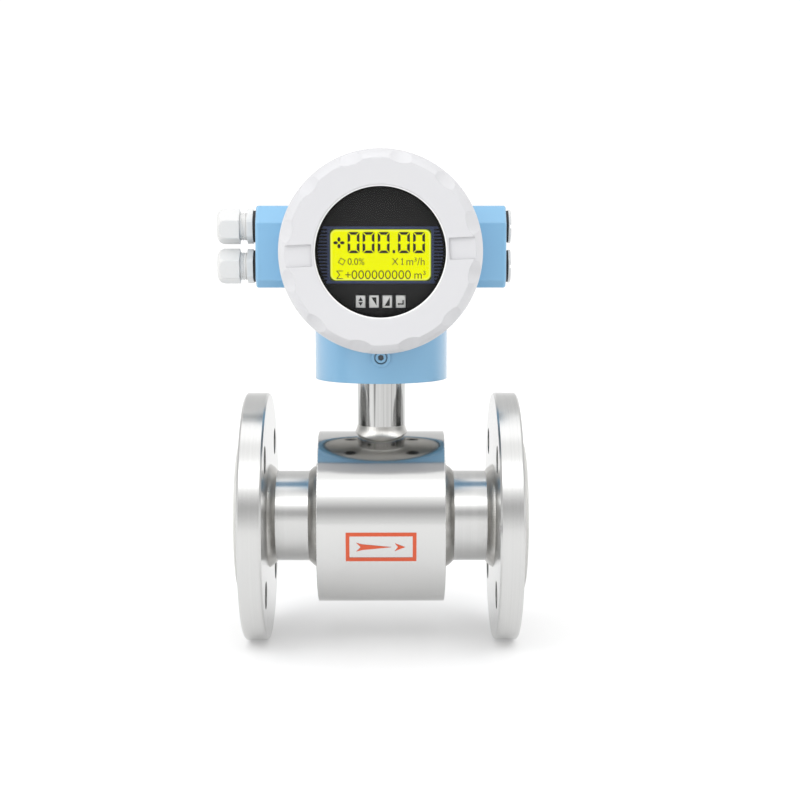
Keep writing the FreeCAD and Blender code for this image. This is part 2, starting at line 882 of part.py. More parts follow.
def finger_scallops(face_y, inward):
    """Round cutters laid on the shoulder, one between each pair of lobes."""
    deep = Vector(cover_face_radius - scallop_depth, face_y, 0)
    shallow = Vector(cover_radius + scallop_runout, face_y + inward * cover_shoulder_depth, 0)
    run = (shallow - deep).normalize()
    away = Vector(abs(run.y), -inward * abs(run.x), 0)
    base = deep + away * scallop_radius - run * (scallop_length / 2)
    cutters = []
    for index in range(cover_lobes):
        angle = cover_turn + 360 * (index + 0.5) / cover_lobes
        cutter = Part.makeCylinder(scallop_radius, scallop_length, base, run)
        cutter.rotate(Vector(0, 0, 0), AXES["y"], -angle)
        cutter.translate(head_centre)
        cutters.append(cutter)
    return cutters


def wrench_slots(face_y, inward):
    """Two shallow slots across the face for a bar that turns the cover."""
    slots = []
    for turn in (0, 180):
        low, high = sorted((face_y - inward * slot_depth, face_y + inward * slot_depth))
        slot = block((slot_start, low, -slot_width / 2), (2 * cover_radius, high, slot_width / 2))
        slot.rotate(Vector(0, 0, 0), AXES["y"], -cover_turn - turn)
        slot.translate(head_centre)
        slots.append(slot)
    return slots


def cover_mouth(rim_y, outward_sign):
    """Room inside a cover's rim: a pocket for the seal, then the threaded bore."""
    pocket_end = rim_y + outward_sign * seal_pocket_depth
    thread_end = rim_y + outward_sign * (spigot_length + cover_thread_runout)
    pocket_radius = seal_circle_radius() + seal_section / 2 + loose_fit
    return [
        rod("y", rim_y, pocket_end, pocket_radius, head_centre),
        rod("y", rim_y, thread_end, spigot_radius + thread_fit, head_centre),
    ]


def front_cover():
    """Screwed ring that carries the window."""
    tools = cover_mouth(front_rim_y, -1)
    pocket_radius = glass_diameter / 2 + glass_side_gap
    tools.append(rod("y", front_rim_y, retainer_back_y, display_plate_diameter / 2 + cover_inner_step,
                     head_centre))
    tools.append(rod("y", front_rim_y, lip_y, pocket_radius, head_centre))
    window = window_diameter / 2
    opening = turned([
        (front_face_y, 0),
        (front_face_y, window + window_bevel),
        (front_face_y + window_bevel, window),
        (lip_y, window),
        (lip_y, 0),
    ], "y", head_centre)
    tools.append(opening)
    tools += finger_scallops(front_face_y, 1)
    tools += wrench_slots(front_face_y, 1)
    return cut_away(cover_outside(front_face_y, front_cover_depth, 1), tools)


def rear_cover():
    """Screwed blind cover over the terminal compartment."""
    tools = cover_mouth(rear_rim_y, 1)
    tools.append(rod("y", rear_rim_y, rear_face_y - rear_cover_wall, compartment_radius - cover_inner_step,
                     head_centre))
    tools += finger_scallops(rear_face_y, -1)
    tools += wrench_slots(rear_face_y, -1)
    return cut_away(cover_outside(rear_face_y, rear_cover_depth, -1), tools)


def seal_circle_radius():
    return spigot_radius + loose_fit + seal_section / 2


def cover_seal(shoulder_y, outward_sign):
    centre = head_centre + Vector(0, shoulder_y + outward_sign * (seal_section / 2 + loose_fit), 0)
    return Part.makeTorus(seal_circle_radius(), seal_section / 2, centre, AXES["y"])


def window_gasket():
    return ring("y", lip_y, glass_front_y, glass_diameter / 2, window_diameter / 2 + loose_fit, head_centre)


def window_glass():
    return rod("y", glass_front_y, glass_back_y, glass_diameter / 2, head_centre)


def window_retainer():
    """Threaded ring that clamps the glass, with two notches for a pin spanner."""
    outer = glass_diameter / 2 + glass_side_gap - thread_fit
    body = ring("y", glass_back_y, retainer_back_y, outer, retainer_opening / 2, head_centre)
    notches = []
    for side in (-1, 1):
        notches.append(centred_block(side * outer, head_z, retainer_notch, retainer_notch,
                                     glass_back_y + retainer_thickness / 2, retainer_back_y))
    return cut_away(body, notches)


# Display and boards in the front compartment

def pillar_spots():
    return [(x, head_z + z) for x in (-pillar_spread_x, pillar_spread_x)
            for z in (-pillar_spread_z, pillar_spread_z)]


def key_spots():
    return [(index - (key_count - 1) / 2) * key_pitch for index in range(key_count)]


def display_plate():
    """Front plate with a sunk band, rows of ribs, the display opening, key holes and pegs."""
    radius = display_plate_diameter / 2
    plate = rod("y", display_face_y, display_back_y, radius, head_centre)
    floor_y = display_face_y + band_depth
    band = centred_block(0, display_z, display_plate_diameter, band_height, display_face_y, floor_y)
    plate = plate.cut(band)
    ribs = []
    for row in range(rib_count):
        rib_z = display_z + (row - (rib_count - 1) / 2) * rib_pitch
        for side in (-1, 1):
            middle = side * (rib_inner_reach + rib_outer_reach) / 2
            ribs.append(centred_block(middle, rib_z, rib_outer_reach - rib_inner_reach, rib_width,
                                      display_face_y, floor_y + band_depth))
    pegs = [rod("y", floor_y, display_board_y, pillar_diameter / 2, Vector(x, 0, z))
            for x, z in pillar_spots()]
    plate = joined([plate] + ribs + pegs)
    opening = centred_block(0, display_z, display_width, display_height, display_face_y, display_back_y)
    opening = opening.makeFillet(display_corner, edges_along(opening, "y"))
    holes = [opening]
    for x in key_spots():
        holes.append(centred_block(x, key_z, key_width + 2 * loose_fit, key_height + 2 * loose_fit,
                                   display_face_y, display_back_y))
    return cut_away(plate, holes)


def display_module():
    """Backlit display: its glass stands in the plate's opening on a wider base."""
    glass = centred_block(0, display_z, display_width - 2 * slip_fit, display_height - 2 * slip_fit,
                          display_face_y + display_set_back, display_board_y - slip_fit)
    glass = glass.makeFillet(display_corner - slip_fit, edges_along(glass, "y"))
    base = centred_block(0, display_z, display_base_width, display_base_height,
                         display_back_y + slip_fit, display_board_y - slip_fit)
    return joined([glass, base])


def key_back_y():
    return display_back_y + loose_fit + key_flange_thickness


def key(x):
    """A cap in the plate with a flange behind it that keeps it in."""
    cap = centred_block(x, key_z, key_width, key_height, display_face_y - key_proud, key_back_y())
    cap = cap.makeFillet(key_corner, edges_along(cap, "y"))
    overlap = 2 * (loose_fit + key_flange)
    collar = centred_block(x, key_z, key_width + overlap, key_height + overlap,
                           key_back_y() - key_flange_thickness, key_back_y())
    return joined([cap, collar])


def display_board():
    """Round board with a small switch behind each key."""
    shapes = [rod("y", display_board_y, display_board_y + board_thickness, display_board_diameter / 2,
                  head_centre)]
    switch_y = key_back_y() + key_travel + soft_fit
    for x in key_spots():
        shapes.append(centred_block(x, key_z, key_width, key_width, switch_y, display_board_y))
    return joined(shapes)


def board_pillars():
    """Spacers from the partition to the main board and on to the display board."""
    pillars = []
    for x, z in pillar_spots():
        centre = Vector(x, 0, z)
        pillars.append(rod("y", display_board_y + board_thickness, main_board_y, pillar_diameter / 2, centre))
        pillars.append(rod("y", main_board_y + board_thickness, partition_front_y, pillar_diameter / 2,
                           centre))
    return Part.makeCompound(pillars)


def main_board():
    """Round board with its chips."""
    shapes = [rod("y", main_board_y, main_board_y + board_thickness, main_board_diameter / 2, head_centre)]
    for z in (head_z - chip_rise, head_z + chip_rise):
        for index in range(chips_in_row):
            x = (index - (chips_in_row - 1) / 2) * chip_pitch
            shapes.append(centred_block(x, z, chip_size, chip_size, main_board_y - chip_thickness,
                                        main_board_y))
    return joined(shapes)


def transformer():
    """Laminated core with a bobbin that stands proud of it."""
    low = main_board_y - transformer_depth
    core = centred_block(0, head_z - transformer_shift, transformer_width,
                         transformer_height * transformer_core_share, low, main_board_y)
    bobbin = centred_block(0, head_z - transformer_shift, transformer_width * transformer_core_share,
                           transformer_height, low + bobbin_inset, main_board_y - bobbin_inset)
    return joined([core, bobbin])


def capacitors():
    """Three cans in a column on the main board."""
    cans = []
    for step in (-1, 0, 1):
        centre = Vector(-capacitor_reach, 0, head_z + step * capacitor_spacing)
        cans.append(rod("y", main_board_y - capacitor_length, main_board_y, capacitor_diameter / 2, centre))
    return Part.makeCompound(cans)


# Terminal compartment

def feedthrough_centre():
    return Vector(feedthrough_shift, 0, head_z - feedthrough_drop)


def feedthrough_plug():
    """Insulating plug that carries the wires through the partition."""
    centre = feedthrough_centre()
    return turned([
        (partition_front_y - feedthrough_rim, 0),
        (partition_front_y - feedthrough_rim, feedthrough_diameter / 2),
        (partition_rear_y, feedthrough_diameter / 2),
        (partition_rear_y, feedthrough_flange / 2),
        (partition_rear_y + feedthrough_rim, feedthrough_flange / 2),
        (partition_rear_y + feedthrough_rim, 0),
    ], "y", centre)


def terminal_spots():
    return [(index - (terminal_count - 1) / 2) * terminal_pitch for index in range(terminal_count)]


def terminal_z():
    return (terminal_top_z + terminal_bottom_z) / 2


def terminal_block():
    """Moulded block with a well for each clamping screw."""
    rear_y = partition_rear_y + terminal_block_depth
    body = block((-terminal_block_width / 2, partition_rear_y, terminal_bottom_z),
                 (terminal_block_width / 2, rear_y, terminal_top_z))
    tools = []
    for x in terminal_spots():
        centre = Vector(x, 0, terminal_z())
        seat_y = rear_y - terminal_well_depth
        tools.append(rod("y", seat_y, rear_y, terminal_screw_head / 2 + loose_fit, centre))
        tools.append(rod("y", seat_y - terminal_screw_grip - loose_fit, rear_y,
                         terminal_screw_thread / 2 + thread_fit, centre))
    return cut_away(body, tools)


def terminal_screws():
    seat_y = partition_rear_y + terminal_block_depth - terminal_well_depth
    screws = []
    for x in terminal_spots():
        centre = Vector(x, 0, terminal_z())
        body = joined([
            rod("y", seat_y, seat_y + terminal_screw_head_height, terminal_screw_head / 2, centre),
            rod("y", seat_y - terminal_screw_grip, seat_y, terminal_screw_thread / 2, centre),
        ])
        top_y = seat_y + terminal_screw_head_height
        slot = centred_block(x, terminal_z(), terminal_screw_head, terminal_screw_slot_width,
                             top_y - terminal_screw_slot_depth, top_y)
        screws.append(body.cut(slot))
    return Part.makeCompound(screws)


# Cable glands on the left wing

def outside_of(side, distance):
    """A place along X, counted outwards from a wing's end face."""
    return side * (wing_half_span + distance)


def stem_radius():
    return port_radius - thread_fit


def port_washer(side, port_z, thickness):
    return ring("x", outside_of(side, 0), outside_of(side, thickness), gland_washer_diameter / 2,
                stem_radius() + loose_fit, Vector(0, 0, port_z))


def gland_washers():
    return Part.makeCompound([port_washer(-1, port_z, gland_washer_thickness)
                              for port_z in (upper_port_z, lower_port_z)])


def gland_body(port_z):
    """Threaded stem, six-sided collar, nut thread and clamping claws, bored through."""
    centre = Vector(0, 0, port_z)
    collar = gland_washer_thickness
    thread = collar + gland_collar_length
    claw = thread + gland_thread_length
    end = claw + gland_claw_length
    hexagonal = hexagon("x", outside_of(-1, collar), outside_of(-1, thread), gland_hex, centre)
    trimmed = hexagonal.common(rod("x", outside_of(-1, collar), outside_of(-1, thread),
                                   gland_collar_diameter / 2, centre))
    shapes = [
        rod("x", outside_of(-1, -gland_stem_length), outside_of(-1, collar), stem_radius(), centre),
        trimmed,
        rod("x", outside_of(-1, thread), outside_of(-1, claw), gland_thread_diameter / 2, centre),
        rod("x", outside_of(-1, claw), outside_of(-1, end), gland_claw_diameter / 2, centre),
    ]
    tools = [rod("x", outside_of(-1, -gland_stem_length), outside_of(-1, end), gland_bore / 2, centre)]
    for index in range(gland_claws):
        slit = block((-wing_half_span - end, -claw_slit / 2, 0),
                     (-wing_half_span - claw, claw_slit / 2, gland_claw_diameter))
        slit.rotate(Vector(0, 0, 0), AXES["x"], 360 * index / gland_claws)
        slit.translate(centre)
        tools.append(slit)
    return cut_away(joined(shapes), tools)


def nut_start():
    """Distance from the wing's end face to the near end of the cap nut."""
    return gland_washer_thickness + gland_collar_length + gland_nut_gap


def gland_nut(port_z):
    """Six-sided cap nut with a domed end, coned inside to press the claws in."""
    centre = Vector(0, 0, port_z)
    start = nut_start()
    dome = start + gland_nut_hex_length
    end = dome + gland_nut_dome_length
    outer = gland_nut_diameter / 2
    tip = gland_nut_end_diameter / 2
    crown_mid = (outside_of(-1, dome + gland_nut_dome_length * dome_mid_along),
                 tip + (outer - tip) * dome_mid_out, "arc")
    envelope = turned([
        (outside_of(-1, start), 0),
        (outside_of(-1, start), outer),
        (outside_of(-1, dome), outer),
        crown_mid,
        (outside_of(-1, end), tip),
        (outside_of(-1, end), 0),
    ], "x", centre)
    bar = hexagon("x", outside_of(-1, start), outside_of(-1, end), gland_hex, centre)
    claw_start = gland_washer_thickness + gland_collar_length + gland_thread_length
    cone_end = end - gland_nut_mouth_length
    thread_radius = gland_thread_diameter / 2 + thread_fit
    inside = turned([
        (outside_of(-1, start), 0),
        (outside_of(-1, start), thread_radius),
        (outside_of(-1, claw_start + gland_claw_length / 2), thread_radius),
        (outside_of(-1, cone_end), gland_nut_mouth / 2),
        (outside_of(-1, end), gland_nut_mouth / 2),
        (outside_of(-1, end), 0),
    ], "x", centre)
    return envelope.common(bar).cut(inside)


def gland_insert(port_z):
    """Rubber sealing sleeve inside the claws."""
    end = gland_washer_thickness + gland_collar_length + gland_thread_length + gland_claw_length
    return ring("x", outside_of(-1, end - insert_length), outside_of(-1, end), gland_bore / 2 - slip_fit,
                insert_bore / 2, Vector(0, 0, port_z))


# Blanking plugs on the right wing

def blanking_plug(port_z):
    """Thin round cap with a coin slot on a hollow threaded stem."""
    centre = Vector(0, 0, port_z)
    cap_start = outside_of(1, plug_washer_thickness)
    cap_end = outside_of(1, plug_washer_thickness + plug_cap_thickness)
    stem_end = outside_of(1, -plug_stem_length)
    cap_radius = plug_cap_diameter / 2
    profile = [
        (stem_end, plug_hollow_diameter / 2),
        (stem_end, stem_radius()),
        (cap_start, stem_radius()),
        (cap_start, cap_radius),
    ]
    profile += reversed(round_corner(cap_end, cap_radius, plug_cap_round, -1))
    profile += [(cap_end, 0), (outside_of(1, 0), 0), (outside_of(1, 0), plug_hollow_diameter / 2)]
    slot = block((cap_end - plug_slot_depth, -plug_cap_diameter, port_z - plug_slot_width / 2),
                 (cap_end, plug_cap_diameter, port_z + plug_slot_width / 2))
    return turned(profile, "x", centre).cut(slot)


# Every piece under its node's name

def pieces():
    made = {
        "measuring_tube": measuring_tube(),
        "liner": liner(),
        "flange_inlet": flange(-1),
        "flange_outlet": flange(1),
        "weld_beads": weld_beads(),
        "drum_shell": drum_shell(),
        "drum_end_inlet": drum_end(-1),
        "drum_end_outlet": drum_end(1),
        "coil_upper": field_coil(1),
        "coil_lower": field_coil(-1),
        "pole_shoe_upper": pole_shoe(1),
        "pole_shoe_lower": pole_shoe(-1),
        "yoke_ring": yoke_ring(),
        "electrode_front": electrode(-1),
        "electrode_rear": electrode(1),
        "electrode_sleeves": electrode_sleeves(),
        "electrode_nuts": electrode_nuts(),
        "neck_tube": neck_tube(),
        "neck_plate": neck_plate(),
        "neck_screws": neck_screws(),
        "neck_seal": neck_seal(),
        "coil_lead": coil_lead(),
        "electrode_leads": electrode_leads(),
        "flow_mark": flow_mark(),
        "housing": housing(),
        "lock_screw": lock_screw(),
        "front_cover": front_cover(),
        "front_cover_seal": cover_seal(-body_front, -1),
        "window_gasket": window_gasket(),
        "window_glass": window_glass(),
        "window_retainer": window_retainer(),
        "rear_cover": rear_cover(),
        "rear_cover_seal": cover_seal(body_rear, 1),
        "display_plate": display_plate(),
        "display_module": display_module(),
        "display_board": display_board(),
        "board_pillars": board_pillars(),
        "main_board": main_board(),
        "transformer": transformer(),
        "capacitors": capacitors(),
        "feedthrough_plug": feedthrough_plug(),
        "terminal_block": terminal_block(),
        "terminal_screws": terminal_screws(),
        "gland_washers": gland_washers(),
    }
    for index, x in enumerate(key_spots()):
        made["key_" + str(index + 1)] = key(x)
    for name, port_z in (("upper", upper_port_z), ("lower", lower_port_z)):
        made["gland_body_" + name] = gland_body(port_z)
        made["gland_nut_" + name] = gland_nut(port_z)
        made["gland_insert_" + name] = gland_insert(port_z)
        made["plug_" + name] = blanking_plug(port_z)
        made["plug_washer_" + name] = port_washer(1, port_z, plug_washer_thickness)
    return made


for node, shape in pieces().items():
    shape.exportStep("parts/" + node + ".step")
    solids = len(shape.Solids)
    print(node, solids, "solid" if solids == 1 else "solids", round(shape.Volume / 1000, 2), "cm3",
          "valid" if shape.isValid() else "NOT VALID")
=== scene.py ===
# %% [markdown]
# # An electromagnetic flow meter
# A lined steel tube between two flanges carries the liquid. A polished drum round it hides the field
# coils, and a blue cast head on a neck holds the electronics behind a screwed window. The metal shapes
# come from the CAD frame. This notebook dresses them: it adds what is printed, threaded or moulded too
# finely for CAD, and gives every surface the finish that its making leaves.

# %% Load the frame
import math
from collections import namedtuple

import bmesh
import bpy
from mathutils import Matrix, Vector


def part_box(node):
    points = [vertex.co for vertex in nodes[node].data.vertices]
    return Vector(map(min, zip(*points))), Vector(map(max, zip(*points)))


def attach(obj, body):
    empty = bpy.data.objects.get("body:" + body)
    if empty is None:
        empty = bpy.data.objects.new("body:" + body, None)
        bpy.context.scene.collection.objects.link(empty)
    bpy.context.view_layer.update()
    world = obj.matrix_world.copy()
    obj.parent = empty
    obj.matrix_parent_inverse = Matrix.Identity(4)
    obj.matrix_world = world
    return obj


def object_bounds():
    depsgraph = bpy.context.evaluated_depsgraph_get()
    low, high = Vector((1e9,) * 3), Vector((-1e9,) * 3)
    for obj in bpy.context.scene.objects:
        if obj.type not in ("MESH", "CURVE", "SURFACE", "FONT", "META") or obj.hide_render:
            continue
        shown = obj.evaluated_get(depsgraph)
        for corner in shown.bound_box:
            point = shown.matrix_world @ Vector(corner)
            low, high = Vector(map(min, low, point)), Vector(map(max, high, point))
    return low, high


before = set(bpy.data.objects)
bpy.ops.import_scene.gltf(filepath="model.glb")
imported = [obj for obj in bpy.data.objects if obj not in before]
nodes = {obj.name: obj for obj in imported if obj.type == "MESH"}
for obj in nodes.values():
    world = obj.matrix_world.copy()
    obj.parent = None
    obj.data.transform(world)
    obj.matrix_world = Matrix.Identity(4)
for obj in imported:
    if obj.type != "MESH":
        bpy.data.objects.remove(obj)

cad_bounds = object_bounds()
print("CAD box:", [[round(v, 4) for v in corner] for corner in cad_bounds], "from", len(nodes), "nodes")

# %% [markdown]
# ## Camera
# The photograph was taken from a little above the display, from about a metre away. The numbers were
# found by fitting the flanges, the cover and the drum to it, so a plain camera with no shift will do.

# %% Camera
PHOTO_WIDTH = 800
FOCAL_PIXELS = 1572.28
SENSOR_WIDTH = 36.0
CAMERA_PLACE = (0.00477, -1.04175, 0.19397)
LOOKS_DOWN = 0.1109
LOOKS_RIGHT = 0.0074

camera_data = bpy.data.cameras.new("photo_camera")
camera_data.sensor_width = SENSOR_WIDTH
camera_data.lens = FOCAL_PIXELS / PHOTO_WIDTH * SENSOR_WIDTH
camera = bpy.data.objects.new("photo_camera", camera_data)
camera.location = CAMERA_PLACE
camera.rotation_euler = (math.pi / 2 - LOOKS_DOWN, 0, -LOOKS_RIGHT)
bpy.context.collection.objects.link(camera)
bpy.context.scene.camera = camera
print("lens", round(camera_data.lens, 2), "mm,", round(camera.location.length, 3), "m from the bore's centre")

# %% [markdown]
# ## Floor, backdrop and lights
# Polished steel shows its surroundings more than itself, so the studio is built like a real one: a pale
# table, a white backdrop behind, a lamp panel high in front and a softbox on the left. The table comes
# first. It is one flat sheet that lies where the flanges touch the ground.

# %% Floor
FLOOR_SIZE = (16.0, 16.0)


def stage_plane(name, middle, size, height, flare=1.0, turn=0.0):
    """A flat sheet at the given height, for the studio only. Its end at high X can be wider than the other,
    and it can be turned about the meter's upright axis."""
    mesh = bpy.data.meshes.new(name)
    work = bmesh.new()
    bmesh.ops.create_grid(work, x_segments=1, y_segments=1, size=0.5)
    bmesh.ops.scale(work, verts=work.verts, vec=(size[0], size[1], 1))
    bmesh.ops.scale(work, verts=[v for v in work.verts if v.co.x > 0], vec=(1, flare, 1))
    bmesh.ops.translate(work, verts=work.verts, vec=(middle[0], middle[1], height))
    bmesh.ops.rotate(work, verts=work.verts, cent=(0, 0, 0), matrix=Matrix.Rotation(turn, 3, "Z"))
    work.to_mesh(mesh)
    work.free()
    plane = bpy.data.objects.new(name, mesh)
    bpy.context.collection.objects.link(plane)
    return plane


floor_height = cad_bounds[0][2]
floor = stage_plane("studio_floor", (0, 0), FLOOR_SIZE, floor_height)
print("floor at", round(floor_height, 4), "m")

# %% [markdown]
# A photographer lays black cloths beside polished work, because a round tube looks flat until something
# dark is drawn down it. Two cloths lie just above the table, one on each side of the meter. They widen away
# from it, so that the dark lines on the neck stay as wide from top to foot. Only reflections show them, so
# the table under them stays white in every view.

# %% Black cloths
CLOTH_MIDDLE = (1.125, 0)
CLOTH_SIZE = (1.15, 0.214)
CLOTH_FLARE = 3.09
CLOTH_LIFT = 0.002
CLOTH_TURNS = {"left_cloth": 200, "right_cloth": 13}

cloths = []
for name, degrees in CLOTH_TURNS.items():
    cloth = stage_plane(name, CLOTH_MIDDLE, CLOTH_SIZE, floor_height + CLOTH_LIFT, CLOTH_FLARE,
                        math.radians(degrees))
    cloth.visible_camera = False
    cloth.visible_diffuse = False
    cloth.visible_shadow = False
    cloths.append(cloth)
print(len(cloths), "cloths that only reflections show")

# %% [markdown]
# ## Colours and nodes
# Every finish below is a small network of nodes. A screen's hex colour isn't a measure of light, so one
# function turns it into the linear values that Blender computes with. A second adds a node with its
# settings and its links, and a third starts a material, so that the cells after this one show only what is
# special about each finish.

# %% Colours and nodes
def colour(code):
    """A hex colour as screens show it, turned to the linear values that Blender computes with."""
    parts = [int(code[i:i + 2], 16) / 255 for i in (0, 2, 4)]
    return [c / 12.92 if c <= 0.04045 else ((c + 0.055) / 1.055) ** 2.4 for c in parts] + [1.0]


def add(tree, kind, settings=None, links=None):
    """Adds one node, sets its values by name or number, and links outputs to its inputs. The setting called
    stops is a colour ramp's list of places, each with its hex colour or its grey value."""
    node = tree.nodes.new(kind)
    for key, value in (settings or {}).items():
        if key == "stops":
            elements = node.color_ramp.elements
            for index, (position, tone) in enumerate(value):
                element = elements[index] if index < 2 else elements.new(position)
                element.position = position
                element.color = colour(tone) if isinstance(tone, str) else (tone, tone, tone, 1.0)
        elif isinstance(key, int) or key in node.inputs:
            node.inputs[key].default_value = value
        else:
            setattr(node, key, value)
    for key, socket in (links or {}).items():
        tree.links.new(socket, node.inputs[key])
    return node


def started(name, settings):
    """A new material: its tree, its Principled shader with plain settings, and Object coordinates."""
    material = bpy.data.materials.new(name)
    material.use_nodes = True
    tree = material.node_tree
    shader = tree.nodes["Principled BSDF"]
    for key, value in settings.items():
        shader.inputs[key].default_value = value
    place = add(tree, "ShaderNodeTexCoord").outputs["Object"]
    return material, tree, shader, place


print("white card reads", [round(c, 3) for c in colour("F4F4F2")[:3]])

# %% [markdown]
# ## Studio room
# The walls are part of the world, because metal mirrors them from any side and they need no mesh. How
# bright a direction is depends on how high it points: each ramp runs from eye level, 0, to straight up, 1.
# In front the wall dims towards 15 to 19 degrees up, which gives the drum its grey band, and a lamp panel
# hangs at 40 to 51 degrees. The wall behind the meter is a plain backdrop. A small soft light overhead
# brightens the upper rims, and a photographer calls it a hair light.

# %% Studio room
FRONT_WALL = [(0.0, 1.02), (0.05, 1.02), (0.11, 0.86), (0.18, 0.74), (0.26, 0.56), (0.33, 0.53), (0.41, 0.82),
              (0.50, 1.12), (0.58, 1.40), (0.64, 2.80), (0.78, 2.80), (0.86, 1.40), (1.0, 1.25)]
BACKDROP = [(0.0, 1.08), (0.14, 1.08), (0.30, 0.85), (0.76, 0.83), (0.93, 1.0), (1.0, 1.25)]
HAIR_LIGHT_DIRECTION = (-0.05, 0.17, 0.984)

world = bpy.data.worlds.new("studio")
bpy.context.scene.world = world
world.use_nodes = True
room = world.node_tree
direction = add(room, "ShaderNodeTexCoord").outputs["Generated"]
axes = add(room, "ShaderNodeSeparateXYZ", links={0: direction})
front_wall = add(room, "ShaderNodeValToRGB", {"stops": FRONT_WALL}, {0: axes.outputs["Z"]})
backdrop = add(room, "ShaderNodeValToRGB", {"stops": BACKDROP}, {0: axes.outputs["Z"]})
behind = add(room, "ShaderNodeMapRange", {"From Min": 0.0, "From Max": 0.3}, {"Value": axes.outputs["Y"]})
walls = add(room, "ShaderNodeMix", {"data_type": "RGBA"},
            {"Factor": behind.outputs[0], "A": front_wall.outputs[0], "B": backdrop.outputs[0]})
facing = add(room, "ShaderNodeVectorMath", {"operation": "DOT_PRODUCT", 1: HAIR_LIGHT_DIRECTION},
             {0: direction})
hair_light = add(room, "ShaderNodeMapRange", {"From Min": 0.935, "From Max": 0.965, "To Max": 0.5},
                 {"Value": facing.outputs["Value"]})
total = add(room, "ShaderNodeVectorMath", {"operation": "ADD"},
            {0: walls.outputs[2], 1: hair_light.outputs[0]})
room.links.new(total.outputs[0], room.nodes["Background"].inputs["Color"])
bpy.context.scene.view_settings.view_transform = "Standard"
print("room: brightest", max(level for _, level in FRONT_WALL), "at the panel, and dimmest",
      min(level for _, level in FRONT_WALL), "below it")

# %% [markdown]
# The walls light everything evenly, and an object lit evenly looks cut out of paper. One softbox on the
# left gives the head a lighter and a darker side. An area light's energy is its whole output, so it is
# worked out from its size and from how bright its face should look.

# %% Softbox
SOFTBOX_PLACE = Vector((-1.25, -1.15, 0.75))
SOFTBOX_TARGET = Vector((0, 0, 0.1))
SOFTBOX_WIDTH, SOFTBOX_HEIGHT = 0.9, 1.2
SOFTBOX_RADIANCE = 1.6

softbox = bpy.data.lights.new("left_softbox", "AREA")
softbox.shape = "RECTANGLE"
softbox.size = SOFTBOX_WIDTH
softbox.size_y = SOFTBOX_HEIGHT
softbox.energy = SOFTBOX_RADIANCE * math.pi * SOFTBOX_WIDTH * SOFTBOX_HEIGHT
lamp = bpy.data.objects.new("left_softbox", softbox)
lamp.location = SOFTBOX_PLACE
lamp.rotation_euler = (SOFTBOX_TARGET - SOFTBOX_PLACE).to_track_quat("-Z", "Y").to_euler()
bpy.context.collection.objects.link(lamp)
print("softbox on the left:", round(softbox.energy, 2), "W")

# %% [markdown]
# ## The table
# A product table is a sheet of opal acrylic with lamps under it. Some of its brightness is its own, so the
# shadow on it stays faint, and light comes up under the meter. Faint mottling shows the diffuser. The
# cloths are flocked, so hardly any light comes back from them.

# %% Opal acrylic and black cloth
def mottled(name, low, high, roughness, per_metre, glow=0.0):
    """A matt surface that drifts slowly between two close colours, and may give off a little white light."""
    material, tree, shader, place = started(name, {"Roughness": roughness, "Emission Color": colour("FFFFFF"),
                                                   "Emission Strength": glow})
    mottle = add(tree, "ShaderNodeTexNoise", {"Scale": per_metre, "Detail": 3.0}, {"Vector": place})
    tint = add(tree, "ShaderNodeMix", {"data_type": "RGBA", "A": colour(low), "B": colour(high)},
               {"Factor": mottle.outputs["Fac"]})
    tree.links.new(tint.outputs[2], shader.inputs["Base Color"])
    return material


floor.data.materials.append(mottled("opal_acrylic_table", "D4D4D4", "D7D7D7", 0.6, 9.0, glow=0.25))
flocked_cloth = mottled("black_flocked_cloth", "0C0C0C", "121212", 0.9, 60.0)
for cloth in cloths:
    cloth.data.materials.append(flocked_cloth)
print("floor and cloths finished")

# %% [markdown]
# ## Metals
# Every metal here was cut, rolled or polished, and each of these leaves lines in one direction. A turned
# flange has rings round its axis, so its noise is read from two numbers, the place along the axis and the
# distance from it. That one rule gives rings on the faces and lines round the rims.

# %% Marks that follow an axis
def turned_marks(tree, place, axis, along_mm, out_mm):
    """A noise pattern that doesn't change round an axis, with mark widths in millimetres."""
    parts = add(tree, "ShaderNodeSeparateXYZ", links={0: place})
    others = [name for name in "XYZ" if name != axis]
    flat = add(tree, "ShaderNodeCombineXYZ", links={0: parts.outputs[others[0]], 1: parts.outputs[others[1]]})
    reach = add(tree, "ShaderNodeVectorMath", {"operation": "LENGTH"}, {0: flat.outputs[0]})
    along = add(tree, "ShaderNodeMath", {"operation": "MULTIPLY", 1: 1000 / along_mm},
                {0: parts.outputs[axis]})
    out = add(tree, "ShaderNodeMath", {"operation": "MULTIPLY", 1: 1000 / out_mm},
              {0: reach.outputs["Value"]})
    spot = add(tree, "ShaderNodeCombineXYZ", links={0: along.outputs[0], 1: out.outputs[0]})
    marks = add(tree, "ShaderNodeTexNoise", {"Scale": 1.0, "Detail": 2.0, "Roughness": 0.6},
                {"Vector": spot.outputs[0]})
    return marks.outputs["Fac"]


print("marks can follow X, Y or Z")

# %% [markdown]
# A worked surface isn't the same all over. The marks change its colour a little, its gloss and its relief,
# and a wide, faint cloud under them stands for the uneven pressure of the tool or the buffing wheel.

# %% A worked metal
CLOUD_SHARE = 0.5


